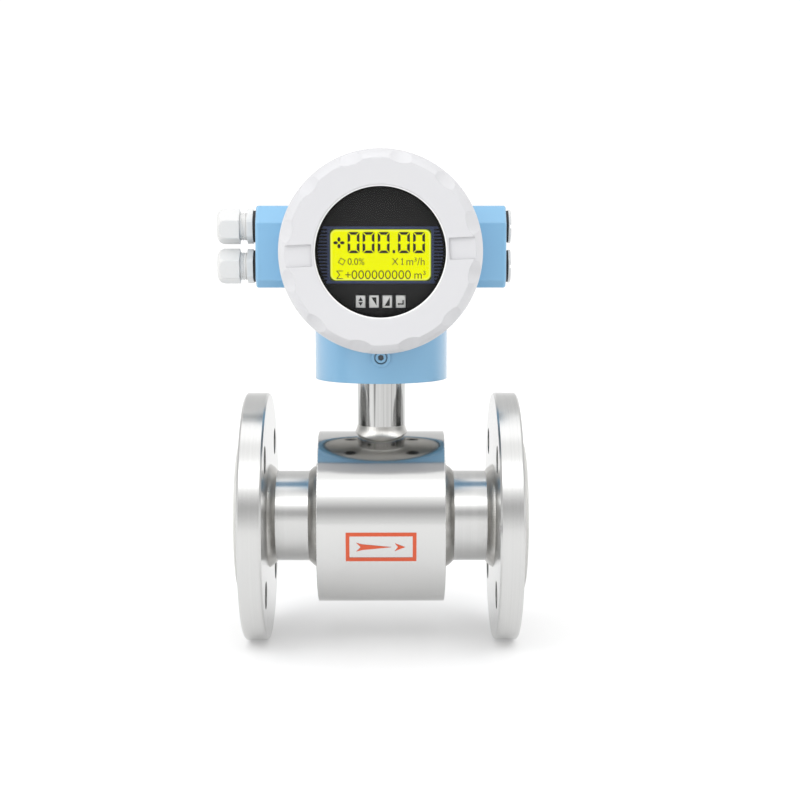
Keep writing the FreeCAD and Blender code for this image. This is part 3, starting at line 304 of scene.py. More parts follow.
def metal(name, dark, light, roughness, spread, depth, axis, along_mm, out_mm):
    """A worked metal: marks that follow an axis vary its colour, its gloss and its relief."""
    material, tree, shader, place = started(name, {"Metallic": 1.0})
    marks = turned_marks(tree, place, axis, along_mm, out_mm)
    cloud = add(tree, "ShaderNodeTexNoise", {"Scale": 28.0, "Detail": 3.0}, {"Vector": place})
    both = add(tree, "ShaderNodeMath", {"operation": "MULTIPLY_ADD", 1: CLOUD_SHARE},
               {0: cloud.outputs["Fac"], 2: marks})
    share = add(tree, "ShaderNodeMapRange", {"From Min": 0.45, "From Max": 1.05}, {"Value": both.outputs[0]})
    tint = add(tree, "ShaderNodeMix", {"data_type": "RGBA", "A": colour(dark), "B": colour(light)},
               {"Factor": share.outputs[0]})
    gloss = add(tree, "ShaderNodeMapRange", {"To Min": roughness - spread, "To Max": roughness + spread},
                {"Value": marks})
    relief = add(tree, "ShaderNodeBump", {"Strength": 0.15, "Distance": depth}, {"Height": marks})
    tree.links.new(tint.outputs[2], shader.inputs["Base Color"])
    tree.links.new(gloss.outputs[0], shader.inputs["Roughness"])
    tree.links.new(relief.outputs[0], shader.inputs["Normal"])
    return material


print("a cloud takes", CLOUD_SHARE, "of the marks' weight")

# %% [markdown]
# Turning leaves marks about a tenth of a millimetre apart, too fine for a picture of this size, so they
# are drawn at 0.8 mm. The drum was ground and then buffed, which is why it mirrors the head above it. The
# screws are smaller, so their marks are drawn at 0.4 mm, and oxidising has turned the neck's screws black.

# %% Stainless steels
turned_steel = metal("turned_stainless_steel", "C8C8C7", "D1D1D0", 0.22, 0.02, 0.00001, "X", 0.8, 0.8)
polished_steel = metal("buffed_stainless_steel", "CECECD", "D0D0CF", 0.13, 0.01, 0.000003, "X", 1.2, 3.0)
plate_steel = metal("turned_plate_steel", "B4B2AE", "C6C4C0", 0.32, 0.04, 0.00002, "Z", 0.8, 0.8)
black_steel = metal("black_oxidised_screw_steel", "141416", "1E1E21", 0.4, 0.05, 0.00001, "Z", 0.4, 0.4)
screw_steel = metal("cold_formed_screw_steel", "B2B2B4", "CFCFD0", 0.28, 0.05, 0.00001, "Y", 0.4, 0.4)
print("steels:", [m.name for m in (turned_steel, polished_steel, plate_steel, screw_steel, black_steel)])

# %% [markdown]
# The neck is a drawn pipe. The die leaves fine lines along it, so here the noise is read from the angle
# round the neck and hardly at all from the height. Nine lines to a radian make a line a little under two
# millimetres wide, which is coarser than a die leaves but wide enough to show.

# %% Drawn neck pipe
LINES_PER_RADIAN = 9.0
DRIFTS_PER_METRE = 4.0

neck_steel, tree, shader, place = started("drawn_neck_pipe", {"Metallic": 1.0, "Roughness": 0.12})
parts = add(tree, "ShaderNodeSeparateXYZ", links={0: place})
angle = add(tree, "ShaderNodeMath", {"operation": "ARCTAN2"}, {0: parts.outputs["X"], 1: parts.outputs["Y"]})
across = add(tree, "ShaderNodeMath", {"operation": "MULTIPLY", 1: LINES_PER_RADIAN}, {0: angle.outputs[0]})
along = add(tree, "ShaderNodeMath", {"operation": "MULTIPLY", 1: DRIFTS_PER_METRE}, {0: parts.outputs["Z"]})
spot = add(tree, "ShaderNodeCombineXYZ", links={0: across.outputs[0], 1: along.outputs[0]})
lines = add(tree, "ShaderNodeTexNoise", {"Scale": 1.0, "Detail": 1.0}, {"Vector": spot.outputs[0]})
tint = add(tree, "ShaderNodeValToRGB",
           {"stops": [(0.34, "7E7E7D"), (0.42, "B3B3B2"), (0.50, "BBBBBA"), (0.64, "C1C1C0")]},
           {0: lines.outputs["Fac"]})
relief = add(tree, "ShaderNodeBump", {"Strength": 0.1, "Distance": 0.000005}, {"Height": lines.outputs["Fac"]})
tree.links.new(tint.outputs[0], shader.inputs["Base Color"])
tree.links.new(relief.outputs[0], shader.inputs["Normal"])
print("die lines run along the neck,", round(2 * math.pi * LINES_PER_RADIAN), "of them round it")

# %% [markdown]
# A weld bead is laid down drop by drop, so it has ripples round the pipe, each about a millimetre and a
# half. Pickling takes the heat tint off and leaves it a little duller than the tube. Four of the beads go
# round the tube, along X, and two round the neck, along Z, so the angle that drives the ripples is worked
# out for each. A bead more than 30 mm from the middle is one of the tube's.

# %% Weld metal
TUBE_RIPPLES = 120
NECK_RIPPLES = 64
NECK_BEADS_REACH = 0.03


def ripples(tree, parts, first, second, count):
    """A wave that runs a whole number of times round an axis."""
    angle = add(tree, "ShaderNodeMath", {"operation": "ARCTAN2"},
                {0: parts.outputs[first], 1: parts.outputs[second]})
    turns = add(tree, "ShaderNodeMath", {"operation": "MULTIPLY", 1: float(count)}, {0: angle.outputs[0]})
    return add(tree, "ShaderNodeMath", {"operation": "SINE"}, {0: turns.outputs[0]}).outputs[0]


weld_metal, tree, shader, place = started("fused_weld_metal", {"Metallic": 1.0, "Roughness": 0.3})
parts = add(tree, "ShaderNodeSeparateXYZ", links={0: place})
tube_ripples = ripples(tree, parts, "Y", "Z", TUBE_RIPPLES)
neck_ripples = ripples(tree, parts, "X", "Y", NECK_RIPPLES)
sideways = add(tree, "ShaderNodeMath", {"operation": "ABSOLUTE"}, {0: parts.outputs["X"]})
on_tube = add(tree, "ShaderNodeMath", {"operation": "GREATER_THAN", 1: NECK_BEADS_REACH},
              {0: sideways.outputs[0]})
wave = add(tree, "ShaderNodeMix", {"data_type": "FLOAT"},
           {"Factor": on_tube.outputs[0], "A": neck_ripples, "B": tube_ripples})
relief = add(tree, "ShaderNodeBump", {"Strength": 0.4, "Distance": 0.00006}, {"Height": wave.outputs[0]})
heat = add(tree, "ShaderNodeTexNoise", {"Scale": 90.0, "Detail": 2.0}, {"Vector": place})
tint = add(tree, "ShaderNodeValToRGB", {"stops": [(0.35, "BAB8B4"), (0.7, "D6D5D2")]},
           {0: heat.outputs["Fac"]})
tree.links.new(tint.outputs[0], shader.inputs["Base Color"])
tree.links.new(relief.outputs[0], shader.inputs["Normal"])
print("weld ripples:", TUBE_RIPPLES, "round the tube,", NECK_RIPPLES, "round the neck")

# %% [markdown]
# ## Coated castings
# The head and its covers are die-cast aluminium with a sprayed and baked coat. The coat levels itself, so
# edges look soft, which a Bevel node gives without a change of shape, and it keeps a faint orange peel
# about two millimetres wide. The clear layer of the shader is the gloss that baking leaves.

# %% Baked coat
EDGE_RADIUS = 0.0009
PEEL_MM = 2.2

Coat = namedtuple("Coat", "material tree shader place tint relief")


def baked_coat(name, low, high, roughness, gloss):
    """A sprayed coat: slow drift in its colour, softened edges and a low, wide orange peel."""
    material, tree, shader, place = started(name, {"Roughness": roughness, "IOR": 1.5, **gloss})
    drift = add(tree, "ShaderNodeTexNoise", {"Scale": 14.0, "Detail": 2.0}, {"Vector": place})
    tint = add(tree, "ShaderNodeMix", {"data_type": "RGBA", "A": colour(low), "B": colour(high)},
               {"Factor": drift.outputs["Fac"]})
    peel = add(tree, "ShaderNodeTexNoise", {"Scale": 1000 / PEEL_MM, "Detail": 1.0}, {"Vector": place})
    soft_edges = add(tree, "ShaderNodeBevel", {"samples": 4, "Radius": EDGE_RADIUS})
    relief = add(tree, "ShaderNodeBump", {"Strength": 0.2, "Distance": 0.00003},
                 {"Height": peel.outputs["Fac"], "Normal": soft_edges.outputs[0]})
    tree.links.new(tint.outputs[2], shader.inputs["Base Color"])
    tree.links.new(relief.outputs[0], shader.inputs["Normal"])
    return Coat(material, tree, shader, place, tint.outputs[2], relief.outputs[0])


white = baked_coat("white_baked_coat", "C7C7CA", "CBCBCD", 0.42, {"Coat Weight": 0.25, "Coat Roughness": 0.12})
print("white coat made, with a peel of", PEEL_MM, "mm")

# %% [markdown]
# The bevel round the window has a painted highlight: its coat is made paler, as if it caught the light. A
# point is on that bevel when it lies within about 40.6 mm of the head's axis and in the first 3 mm of the
# cover. The distance is measured in X and Z, and the painted highlight fades out over its last 0.3 mm.

# %% Painted highlight on the bevel round the window
HIGHLIGHT_FADE = (0.0405, 0.0408)
BEVEL_DEPTH = 0.003

head_low, head_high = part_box("housing")
cover_low, cover_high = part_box("front_cover")
head_axis_z = (cover_low.z + cover_high.z) / 2
parts = add(white.tree, "ShaderNodeSeparateXYZ", links={0: white.place})
drop = add(white.tree, "ShaderNodeMath", {"operation": "SUBTRACT", 1: head_axis_z}, {0: parts.outputs["Z"]})
flat = add(white.tree, "ShaderNodeCombineXYZ", links={0: parts.outputs["X"], 1: drop.outputs[0]})
reach = add(white.tree, "ShaderNodeVectorMath", {"operation": "LENGTH"}, {0: flat.outputs[0]})
near_axis = add(white.tree, "ShaderNodeMapRange",
                {"From Min": HIGHLIGHT_FADE[0], "From Max": HIGHLIGHT_FADE[1], "To Min": 1.0, "To Max": 0.0},
                {"Value": reach.outputs["Value"]})
at_front = add(white.tree, "ShaderNodeMath", {"operation": "LESS_THAN", 1: cover_low.y + BEVEL_DEPTH},
               {0: parts.outputs["Y"]})
bevel_highlight = add(white.tree, "ShaderNodeMath", {"operation": "MULTIPLY"},
               {0: near_axis.outputs[0], 1: at_front.outputs[0]})
# Painted highlight: the bevel's coat is made paler, F0F0F1, for the light it catches.
tint = add(white.tree, "ShaderNodeMix", {"data_type": "RGBA", "B": colour("F0F0F1")},
           {"Factor": bevel_highlight.outputs[0], "A": white.tint})
white.tree.links.new(tint.outputs[2], white.shader.inputs["Base Color"])
print("head axis at z", round(head_axis_z, 4), "and its casting reaches from",
      [round(v, 3) for v in head_low], "to", [round(v, 3) for v in head_high])

# %% [markdown]
# The blue coat stops at the shoulders where the covers seat, 46.65 mm before and 44.45 mm behind the
# middle. Beyond them the threads are cut with a pitch of 2 mm, so the coat is gone and bright metal shows
# once a cover is unscrewed. A wave along Y draws the flanks of the thread.

# %% Bare threads on the head
BLUE_LOW, BLUE_HIGH = "71A7CB", "77ACCF"
BLUE_GLOSS = {"Coat Weight": 1.0, "Coat Roughness": 0.25}
FRONT_SHOULDER_Y = -0.04665
REAR_SHOULDER_Y = 0.04445
THREAD_PITCH = 0.002

blue = baked_coat("blue_baked_coat", BLUE_LOW, BLUE_HIGH, 0.38, BLUE_GLOSS)
parts = add(blue.tree, "ShaderNodeSeparateXYZ", links={0: blue.place})
front_thread = add(blue.tree, "ShaderNodeMath", {"operation": "LESS_THAN", 1: FRONT_SHOULDER_Y},
                   {0: parts.outputs["Y"]})
rear_thread = add(blue.tree, "ShaderNodeMath", {"operation": "GREATER_THAN", 1: REAR_SHOULDER_Y},
                  {0: parts.outputs["Y"]})
bare = add(blue.tree, "ShaderNodeMath", {"operation": "MAXIMUM"},
           {0: front_thread.outputs[0], 1: rear_thread.outputs[0]})
bare_tint = add(blue.tree, "ShaderNodeMix", {"data_type": "RGBA", "B": colour("B9BBBD")},
                {"Factor": bare.outputs[0], "A": blue.tint})
flanks = add(blue.tree, "ShaderNodeMath", {"operation": "MULTIPLY", 1: 2 * math.pi / THREAD_PITCH},
             {0: parts.outputs["Y"]})
thread_wave = add(blue.tree, "ShaderNodeMath", {"operation": "SINE"}, {0: flanks.outputs[0]})
thread_height = add(blue.tree, "ShaderNodeMath", {"operation": "MULTIPLY"},
                    {0: thread_wave.outputs[0], 1: bare.outputs[0]})
threads = add(blue.tree, "ShaderNodeBump", {"Strength": 1.0, "Distance": 0.0004},
              {"Height": thread_height.outputs[0], "Normal": blue.relief})
blue.tree.links.new(bare_tint.outputs[2], blue.shader.inputs["Base Color"])
blue.tree.links.new(bare.outputs[0], blue.shader.inputs["Metallic"])
blue.tree.links.new(threads.outputs[0], blue.shader.inputs["Normal"])
print("blue coat with bare threads made, pitch", THREAD_PITCH * 1000, "mm")

# %% [markdown]
# The lock screw got the same coat. Its socket and the gap round its head get painted shade instead: everything
# more than 0.4 mm behind the face of the screw is given a near-black blue.

# %% Lock screw, with painted shade in its socket
SHADE_DEPTH = 0.0004

lock_face_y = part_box("lock_screw")[0].y
lock = baked_coat("blue_coat_with_painted_socket_shade", BLUE_LOW, BLUE_HIGH, 0.38, BLUE_GLOSS)
parts = add(lock.tree, "ShaderNodeSeparateXYZ", links={0: lock.place})
painted_socket_shade = add(lock.tree, "ShaderNodeMath", {"operation": "GREATER_THAN", 1: lock_face_y + SHADE_DEPTH},
           {0: parts.outputs["Y"]})
# Painted shade: the socket and the gap round the head are darkened to 0B2436.
tint = add(lock.tree, "ShaderNodeMix", {"data_type": "RGBA", "B": colour("0B2436")},
           {"Factor": painted_socket_shade.outputs[0], "A": lock.tint})
lock.tree.links.new(tint.outputs[2], lock.shader.inputs["Base Color"])
print("lock screw face at y", round(lock_face_y, 5))

# %% [markdown]
# ## Plastics, rubbers and inks
# Moulded parts copy the wall of their mould, a fine spark-eroded grain. The same recipe serves the glands,
# the lining, the seals, the keys and even printed ink: two close colours, a gloss and a grain size.

# %% Moulded finishes
def moulded(name, low, high, roughness, grain_mm, depth):
    """A moulded, pressed or printed surface with a fine grain of the given size."""
    material, tree, shader, place = started(name, {"Roughness": roughness})
    drift = add(tree, "ShaderNodeTexNoise", {"Scale": 60.0, "Detail": 2.0}, {"Vector": place})
    tint = add(tree, "ShaderNodeMix", {"data_type": "RGBA", "A": colour(low), "B": colour(high)},
               {"Factor": drift.outputs["Fac"]})
    grain = add(tree, "ShaderNodeTexNoise", {"Scale": 1000 / grain_mm, "Detail": 2.0}, {"Vector": place})
    relief = add(tree, "ShaderNodeBump", {"Strength": 0.3, "Distance": depth}, {"Height": grain.outputs["Fac"]})
    tree.links.new(tint.outputs[2], shader.inputs["Base Color"])
    tree.links.new(relief.outputs[0], shader.inputs["Normal"])
    return material


# Pale engineering plastics: waxy, with a soft highlight.
nylon = moulded("moulded_nylon", "CECECD", "D5D5D4", 0.38, 0.8, 0.00002)
fluoropolymer = moulded("moulded_fluoropolymer", "CDCDCA", "D6D6D3", 0.3, 1.5, 0.00001)
# Rubbers: nearly black and dull.
seal_rubber = moulded("nitrile_rubber", "0B0D10", "15181C", 0.55, 0.6, 0.00003)
lead_sheath = moulded("silicone_lead_sheath", "1A1A1D", "26262A", 0.5, 0.8, 0.00002)
# Insulators and keys: an even colour and a matt skin.
insulator = moulded("pressed_phenolic_insulator", "D8D2C2", "E4DFD2", 0.45, 0.7, 0.00002)
terminal_plastic = moulded("glass_filled_polyamide", "2F6B3E", "37784A", 0.5, 0.6, 0.00003)
grey_key_plastic = moulded("grey_keypad_plastic", "D8D8D9", "E0E0E0", 0.42, 0.5, 0.00002)
# Inks and display segments: flat colour with almost no relief.
mark_paint = moulded("screen_printed_red_ink", "C14A26", "C9522D", 0.38, 0.9, 0.00001)
display_ink = moulded("dark_display_segments", "1C1600", "282000", 0.5, 0.5, 0.000005)
faint_ink = moulded("faint_display_segments", "403C00", "4A4600", 0.5, 0.5, 0.000005)
key_ink = moulded("printed_key_symbols", "060607", "0C0C0D", 0.5, 0.5, 0.000005)
print("moulded and printed finishes made")

# %% [markdown]
# ## Inside the head and the drum
# These pieces show only when a cover is off, but they still get their own finish. Wound wire and stacked
# sheets are fine parallel lines, so one wave drives both their colour and their relief. The lines are drawn
# a millimetre apart, coarser than real wire and sheets, so that they show in a picture of this size.

# %% Wire and stacked sheets
def lined(name, low, high, axis, pitch_mm, settings, depth):
    """Fine parallel lines along one axis, as on wound wire or stacked sheets."""
    material, tree, shader, place = started(name, settings)
    parts = add(tree, "ShaderNodeSeparateXYZ", links={0: place})
    turns = add(tree, "ShaderNodeMath", {"operation": "MULTIPLY", 1: 2 * math.pi * 1000 / pitch_mm},
                {0: parts.outputs[axis]})
    wave = add(tree, "ShaderNodeMath", {"operation": "SINE"}, {0: turns.outputs[0]})
    share = add(tree, "ShaderNodeMapRange", {"From Min": -1.0}, {"Value": wave.outputs[0]})
    tint = add(tree, "ShaderNodeMix", {"data_type": "RGBA", "A": colour(low), "B": colour(high)},
               {"Factor": share.outputs[0]})
    relief = add(tree, "ShaderNodeBump", {"Strength": 0.6, "Distance": depth}, {"Height": wave.outputs[0]})
    tree.links.new(tint.outputs[2], shader.inputs["Base Color"])
    tree.links.new(relief.outputs[0], shader.inputs["Normal"])
    return material


winding_wire = lined("lacquered_copper_wire", "6E2F14", "A9552B", "Y", 1.0,
                     {"Metallic": 0.8, "Roughness": 0.3}, 0.0002)
core_iron = lined("stamped_core_sheets", "3A3A3D", "55555A", "X", 1.0,
                  {"Metallic": 0.7, "Roughness": 0.45}, 0.0001)
transformer_iron = lined("laminated_transformer_core", "3C3834", "57524C", "X", 1.0,
                         {"Metallic": 0.5, "Roughness": 0.5}, 0.0001)
print("lined:", [m.name for m in (winding_wire, core_iron, transformer_iron)])

# %% [markdown]
# A capacitor wears a shrunk plastic sleeve, the spacers are plated, and the ring that holds the window is
# anodised black. A circuit board is green because of its solder mask. The copper tracks under the mask show
# as paler lines, and the borders between Voronoi cells about 6 mm wide make a believable network of them.

# %% Cans, spacers and boards
TRACK_HALF_WIDTH = 0.06

capacitor_can = moulded("sleeved_aluminium_can", "1B2233", "242C40", 0.25, 2.0, 0.00001)
plated_spacer = metal("nickel_plated_brass", "B9B4A4", "D2CEC0", 0.22, 0.04, 0.00001, "Y", 0.8, 0.8)
anodised_ring = metal("black_anodised_aluminium", "2B2B2E", "3A3A3E", 0.35, 0.05, 0.00001, "Y", 0.8, 0.8)

solder_mask, tree, shader, place = started("green_solder_mask", {"Roughness": 0.32})
cells = add(tree, "ShaderNodeTexVoronoi", {"feature": "DISTANCE_TO_EDGE", "Scale": 160.0}, {"Vector": place})
tracks = add(tree, "ShaderNodeMath", {"operation": "LESS_THAN", 1: TRACK_HALF_WIDTH},
             {0: cells.outputs["Distance"]})
tint = add(tree, "ShaderNodeMix", {"data_type": "RGBA", "A": colour("0F5A33"), "B": colour("2A7B4C")},
           {"Factor": tracks.outputs[0]})
tree.links.new(tint.outputs[2], shader.inputs["Base Color"])
print("cans, spacers and boards finished")

# %% [markdown]
# ## Display plate
# The plate behind the window is dark grey, with a slate band sunk 0.4 mm into it, and the black ribs in
# that band are level with the plate. So the material reads two numbers. Y tells the sunk floor from the
# ribs, and the height above the display's middle tells the band from the plain plate.

# %% Display plate and its band
SUNK_LIMIT = 0.00025
BAND_HEIGHT = 0.0351

plate_face_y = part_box("display_plate")[0].y
display_low, display_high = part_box("display_module")
display_x = (display_low.x + display_high.x) / 2
display_z = (display_low.z + display_high.z) / 2

dark_panel, tree, shader, place = started("black_moulded_panel",
                                          {"Roughness": 0.42, "Specular IOR Level": 0.25})
parts = add(tree, "ShaderNodeSeparateXYZ", links={0: place})
sunk = add(tree, "ShaderNodeMath", {"operation": "GREATER_THAN", 1: plate_face_y + SUNK_LIMIT},
           {0: parts.outputs["Y"]})
lift = add(tree, "ShaderNodeMath", {"operation": "SUBTRACT", 1: display_z}, {0: parts.outputs["Z"]})
height = add(tree, "ShaderNodeMath", {"operation": "ABSOLUTE"}, {0: lift.outputs[0]})
in_band = add(tree, "ShaderNodeMath", {"operation": "LESS_THAN", 1: BAND_HEIGHT / 2}, {0: height.outputs[0]})
grain = add(tree, "ShaderNodeTexNoise", {"Scale": 900.0, "Detail": 2.0}, {"Vector": place})
grey = add(tree, "ShaderNodeMix", {"data_type": "RGBA", "A": colour("151516"), "B": colour("1A1A1B")},
           {"Factor": grain.outputs["Fac"]})
ribbed = add(tree, "ShaderNodeMix", {"data_type": "RGBA", "B": colour("08090E")},
             {"Factor": in_band.outputs[0], "A": grey.outputs[2]})
banded = add(tree, "ShaderNodeMix", {"data_type": "RGBA", "B": colour("3E486A")},
             {"Factor": sunk.outputs[0], "A": ribbed.outputs[2]})
print("display plate front at y", round(plate_face_y, 5), "with a band", BAND_HEIGHT * 1000, "mm high")

# %% [markdown]
# A black ring of painted shade lies round the plate, from 38.6 mm out to its edge, along the window's edge.
# It is found by its distance from the head's axis. The moulded grain, about a millimetre wide, also gives
# the plate its faint relief.

# %% Painted shade round the edge of the display plate
SHADE_RING_RADIUS = 0.0386

from_axis = add(tree, "ShaderNodeMath", {"operation": "SUBTRACT", 1: head_axis_z}, {0: parts.outputs["Z"]})
flat = add(tree, "ShaderNodeCombineXYZ", links={0: parts.outputs["X"], 1: from_axis.outputs[0]})
reach = add(tree, "ShaderNodeVectorMath", {"operation": "LENGTH"}, {0: flat.outputs[0]})
painted_edge_shade = add(tree, "ShaderNodeMath", {"operation": "GREATER_THAN", 1: SHADE_RING_RADIUS},
             {0: reach.outputs["Value"]})
# Painted shade: the plate is darkened to 050506 beyond that radius, along the window's edge.
tint = add(tree, "ShaderNodeMix", {"data_type": "RGBA", "B": colour("050506")},
           {"Factor": painted_edge_shade.outputs[0], "A": banded.outputs[2]})
relief = add(tree, "ShaderNodeBump", {"Strength": 0.2, "Distance": 0.00002}, {"Height": grain.outputs["Fac"]})
tree.links.new(tint.outputs[2], shader.inputs["Base Color"])
tree.links.new(relief.outputs[0], shader.inputs["Normal"])
print("black border from", SHADE_RING_RADIUS * 1000, "mm outwards")

# %% [markdown]
# ## Backlit display
# The display is lit from behind, so it is mostly emission, and its gloss is kept low. Near its edge the
# emission turns paler and then falls to dark olive, which is painted shade of the opening's chamfer. How near
# a point is to the edge is worked out as the distance to a rounded rectangle: past the straight part of a
# side it counts sideways, and past two sides it goes round the corner.

# %% Backlit display
DISPLAY_WIDTH, DISPLAY_HEIGHT = 0.0627, 0.0319
SOFT_CORNER = 0.004
GLOW_WITH_EDGE_SHADE = [(0.0, "F6FA00"), (0.58, "F6FA06"), (0.74, "F6FA50"), (0.86, "EEF45A"), (0.95, "6D7A1C"),
        (1.0, "3F4D12")]


def beyond(tree, coordinate, centre, half):
    """How far a point lies past the straight part of a side, never below nought."""
    offset = add(tree, "ShaderNodeMath", {"operation": "SUBTRACT", 1: centre}, {0: coordinate})
    size = add(tree, "ShaderNodeMath", {"operation": "ABSOLUTE"}, {0: offset.outputs[0]})
    past = add(tree, "ShaderNodeMath", {"operation": "SUBTRACT", 1: half}, {0: size.outputs[0]})
    return add(tree, "ShaderNodeMath", {"operation": "MAXIMUM", 1: 0.0}, {0: past.outputs[0]}).outputs[0]


backlit, tree, shader, place = started("backlit_display_glass", {
    "Roughness": 0.25, "Emission Strength": 1.0, "Specular IOR Level": 0.1, "Base Color": colour("202000")})
parts = add(tree, "ShaderNodeSeparateXYZ", links={0: place})
flat = add(tree, "ShaderNodeCombineXYZ", links={
    0: beyond(tree, parts.outputs["X"], display_x, DISPLAY_WIDTH / 2 - SOFT_CORNER),
    1: beyond(tree, parts.outputs["Z"], display_z, DISPLAY_HEIGHT / 2 - SOFT_CORNER)})
reach = add(tree, "ShaderNodeVectorMath", {"operation": "LENGTH"}, {0: flat.outputs[0]})
depth = add(tree, "ShaderNodeMapRange", {"From Min": 0.0, "From Max": SOFT_CORNER},
            {"Value": reach.outputs["Value"]})
# Painted shade: near the edge the emission falls to dark olive, for the chamfer round the opening.
glow_and_edge_shade = add(tree, "ShaderNodeValToRGB", {"stops": GLOW_WITH_EDGE_SHADE}, {0: depth.outputs[0]})
tree.links.new(glow_and_edge_shade.outputs[0], shader.inputs["Emission Color"])
print("display", round(DISPLAY_WIDTH * 1000, 1), "by", round(DISPLAY_HEIGHT * 1000, 1), "mm")

# %% [markdown]
# ## Window
# The window is 6 mm of toughened glass. A real glass shader would keep the studio's light from the
# display, so the pane is clear and only its Fresnel share reflects. Plain glass has an index of about 1.5.
# It is set to 1.12 here, because the photograph shows hardly any reflection on the window. A faint haze
# varies the gloss.

# %% Toughened glass
window_glass, tree, shader, place = started("toughened_glass", {"Roughness": 0.02})
haze = add(tree, "ShaderNodeTexNoise", {"Scale": 30.0}, {"Vector": place})
haze_gloss = add(tree, "ShaderNodeMapRange", {"To Min": 0.01, "To Max": 0.04}, {"Value": haze.outputs["Fac"]})
clear = add(tree, "ShaderNodeBsdfTransparent", {"Color": colour("FBFBFB")})
shine = add(tree, "ShaderNodeBsdfGlossy", {"Color": colour("FFFFFF")}, {"Roughness": haze_gloss.outputs[0]})
share = add(tree, "ShaderNodeFresnel", {"IOR": 1.12})
mixed = add(tree, "ShaderNodeMixShader", links={0: share.outputs[0], 1: clear.outputs[0], 2: shine.outputs[0]})
tree.links.new(mixed.outputs[0], tree.nodes["Material Output"].inputs["Surface"])
tree.nodes.remove(shader)
print("window finished")

# %% [markdown]
# ## Giving the CAD nodes their finish
# A CAD node keeps its shape, and only its material slot changes. The table below pairs each finish with
# the nodes that have it. What is left over is printed, so nothing stays plain.

# %% Dress the CAD nodes
finishes = {
    turned_steel: ["measuring_tube", "flange_inlet", "flange_outlet"],
    polished_steel: ["drum_shell", "drum_end_inlet", "drum_end_outlet"],
    neck_steel: ["neck_tube"],
    plate_steel: ["neck_plate"],
    screw_steel: ["electrode_front", "electrode_rear", "electrode_nuts", "terminal_screws"],
    black_steel: ["neck_screws"],
    weld_metal: ["weld_beads"],
    fluoropolymer: ["liner"],
    insulator: ["electrode_sleeves", "feedthrough_plug"],
    winding_wire: ["coil_upper", "coil_lower"],
    core_iron: ["pole_shoe_upper", "pole_shoe_lower", "yoke_ring"],
    lead_sheath: ["coil_lead", "electrode_leads"],
    mark_paint: ["flow_mark"],
    blue.material: ["housing"],
    lock.material: ["lock_screw"],
    white.material: ["front_cover", "rear_cover"],
    seal_rubber: ["neck_seal", "front_cover_seal", "rear_cover_seal", "window_gasket", "gland_washers",
                  "plug_washer_upper", "plug_washer_lower", "gland_insert_upper", "gland_insert_lower"],
    window_glass: ["window_glass"],
    anodised_ring: ["window_retainer"],
    dark_panel: ["display_plate"],
    backlit: ["display_module"],
    grey_key_plastic: ["key_1", "key_2", "key_3", "key_4"],
    solder_mask: ["display_board", "main_board"],
    plated_spacer: ["board_pillars"],
    transformer_iron: ["transformer"],
    capacitor_can: ["capacitors"],
    terminal_plastic: ["terminal_block"],
    nylon: ["gland_body_upper", "gland_body_lower", "gland_nut_upper", "gland_nut_lower", "plug_upper",
            "plug_lower"],
}
dressed = set()
for material, names in finishes.items():
    for name in names:
        slots = nodes[name].data.materials
        if len(slots) == 0:
            slots.append(material)
        for index in range(len(slots)):
            slots[index] = material
        dressed.add(name)
print("dressed", len(dressed), "of", len(nodes), "nodes; left over:", sorted(set(nodes) - dressed))

# %% [markdown]
# ## Flat pieces on the display
# A display of this kind has its segments etched as flat shapes. Each is drawn here from its few corners
# and given a twentieth of a millimetre of thickness, so that it is a real shape that stands on the face of
# the display. The corners are given in millimetres from the display's middle, as on a drawing.

# %% Flat pieces
INK = 0.00005
mm = 0.001
display_face_y = display_low.y


def finished(name, work, material, body):
    """Turns a bmesh into a piece that rides on a body, with its faces pointing out."""
    bmesh.ops.remove_doubles(work, verts=work.verts, dist=1e-6)
    bmesh.ops.recalc_face_normals(work, faces=work.faces)
    mesh = bpy.data.meshes.new(name)
    work.to_mesh(mesh)
    work.free()
    mesh.materials.append(material)
    piece = bpy.data.objects.new(name, mesh)
    bpy.context.collection.objects.link(piece)
    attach(piece, body)
    return piece


def raise_outline(work, corners, face_y):
    """Adds a flat shape in front view, given by its corners, and thickens it towards the viewer."""
    verts = [work.verts.new((x, face_y, z)) for x, z in corners]
    face = work.faces.new(verts)
    grown = bmesh.ops.extrude_face_region(work, geom=[face], use_keep_orig=True)
    moved = [v for v in grown["geom"] if isinstance(v, bmesh.types.BMVert)]
    bmesh.ops.translate(work, verts=moved, vec=(0, -INK, 0))


def raise_on_display(work, corners, left=0, bottom=0):
    """Raises an outline on the display. Its corners are in millimetres, from the middle or from its foot."""
    raise_outline(work, [(display_x + (left + x) * mm, display_z + (bottom + z) * mm) for x, z in corners],
                  display_face_y)


print("display face at y", round(display_face_y, 5))

# %% [markdown]
# The large figures are made of bars with mitred corners. A nought has six of them, one at the top, one at
# the foot and two on each side, with a small gap at each mitre. One function gives their corners, and a
# loop sets five noughts in a row, with a point after the third.

# %% Digits
DIGIT_CENTRES = [-16.7, -7.45, 1.9, 14.4, 23.75]
DIGIT_BOTTOM = 1.1
DIGIT_WIDTH, DIGIT_HEIGHT = 7.4, 13.0
BAR, BAR_GAP = 1.7, 0.4
BAR_TAPER = 0.5
POINT_LEFT, POINT_WIDTH, POINT_HEIGHT = 7.4, 1.6, 1.9


def zero_segments(left, bottom):
    """The six mitred bars that show a nought, as corner lists in millimetres."""
    right, top = left + DIGIT_WIDTH, bottom + DIGIT_HEIGHT
    middle_z = bottom + DIGIT_HEIGHT / 2
    segments = []
    for end, back in ((top, -1), (bottom, 1)):
        segments.append([(left + BAR_GAP, end), (right - BAR_GAP, end),
                         (right - BAR_GAP - BAR, end + back * BAR), (left + BAR_GAP + BAR, end + back * BAR)])
    for outer, inner in ((left, left + BAR), (right, right - BAR)):
        for end, back in ((top, -1), (bottom, 1)):
            near = middle_z - back * BAR_GAP / 2
            segments.append([(outer, end + back * BAR_GAP), (inner, end + back * (BAR_GAP + BAR)),
                             (inner, near - back * BAR * BAR_TAPER), (outer, near)])
    return segments


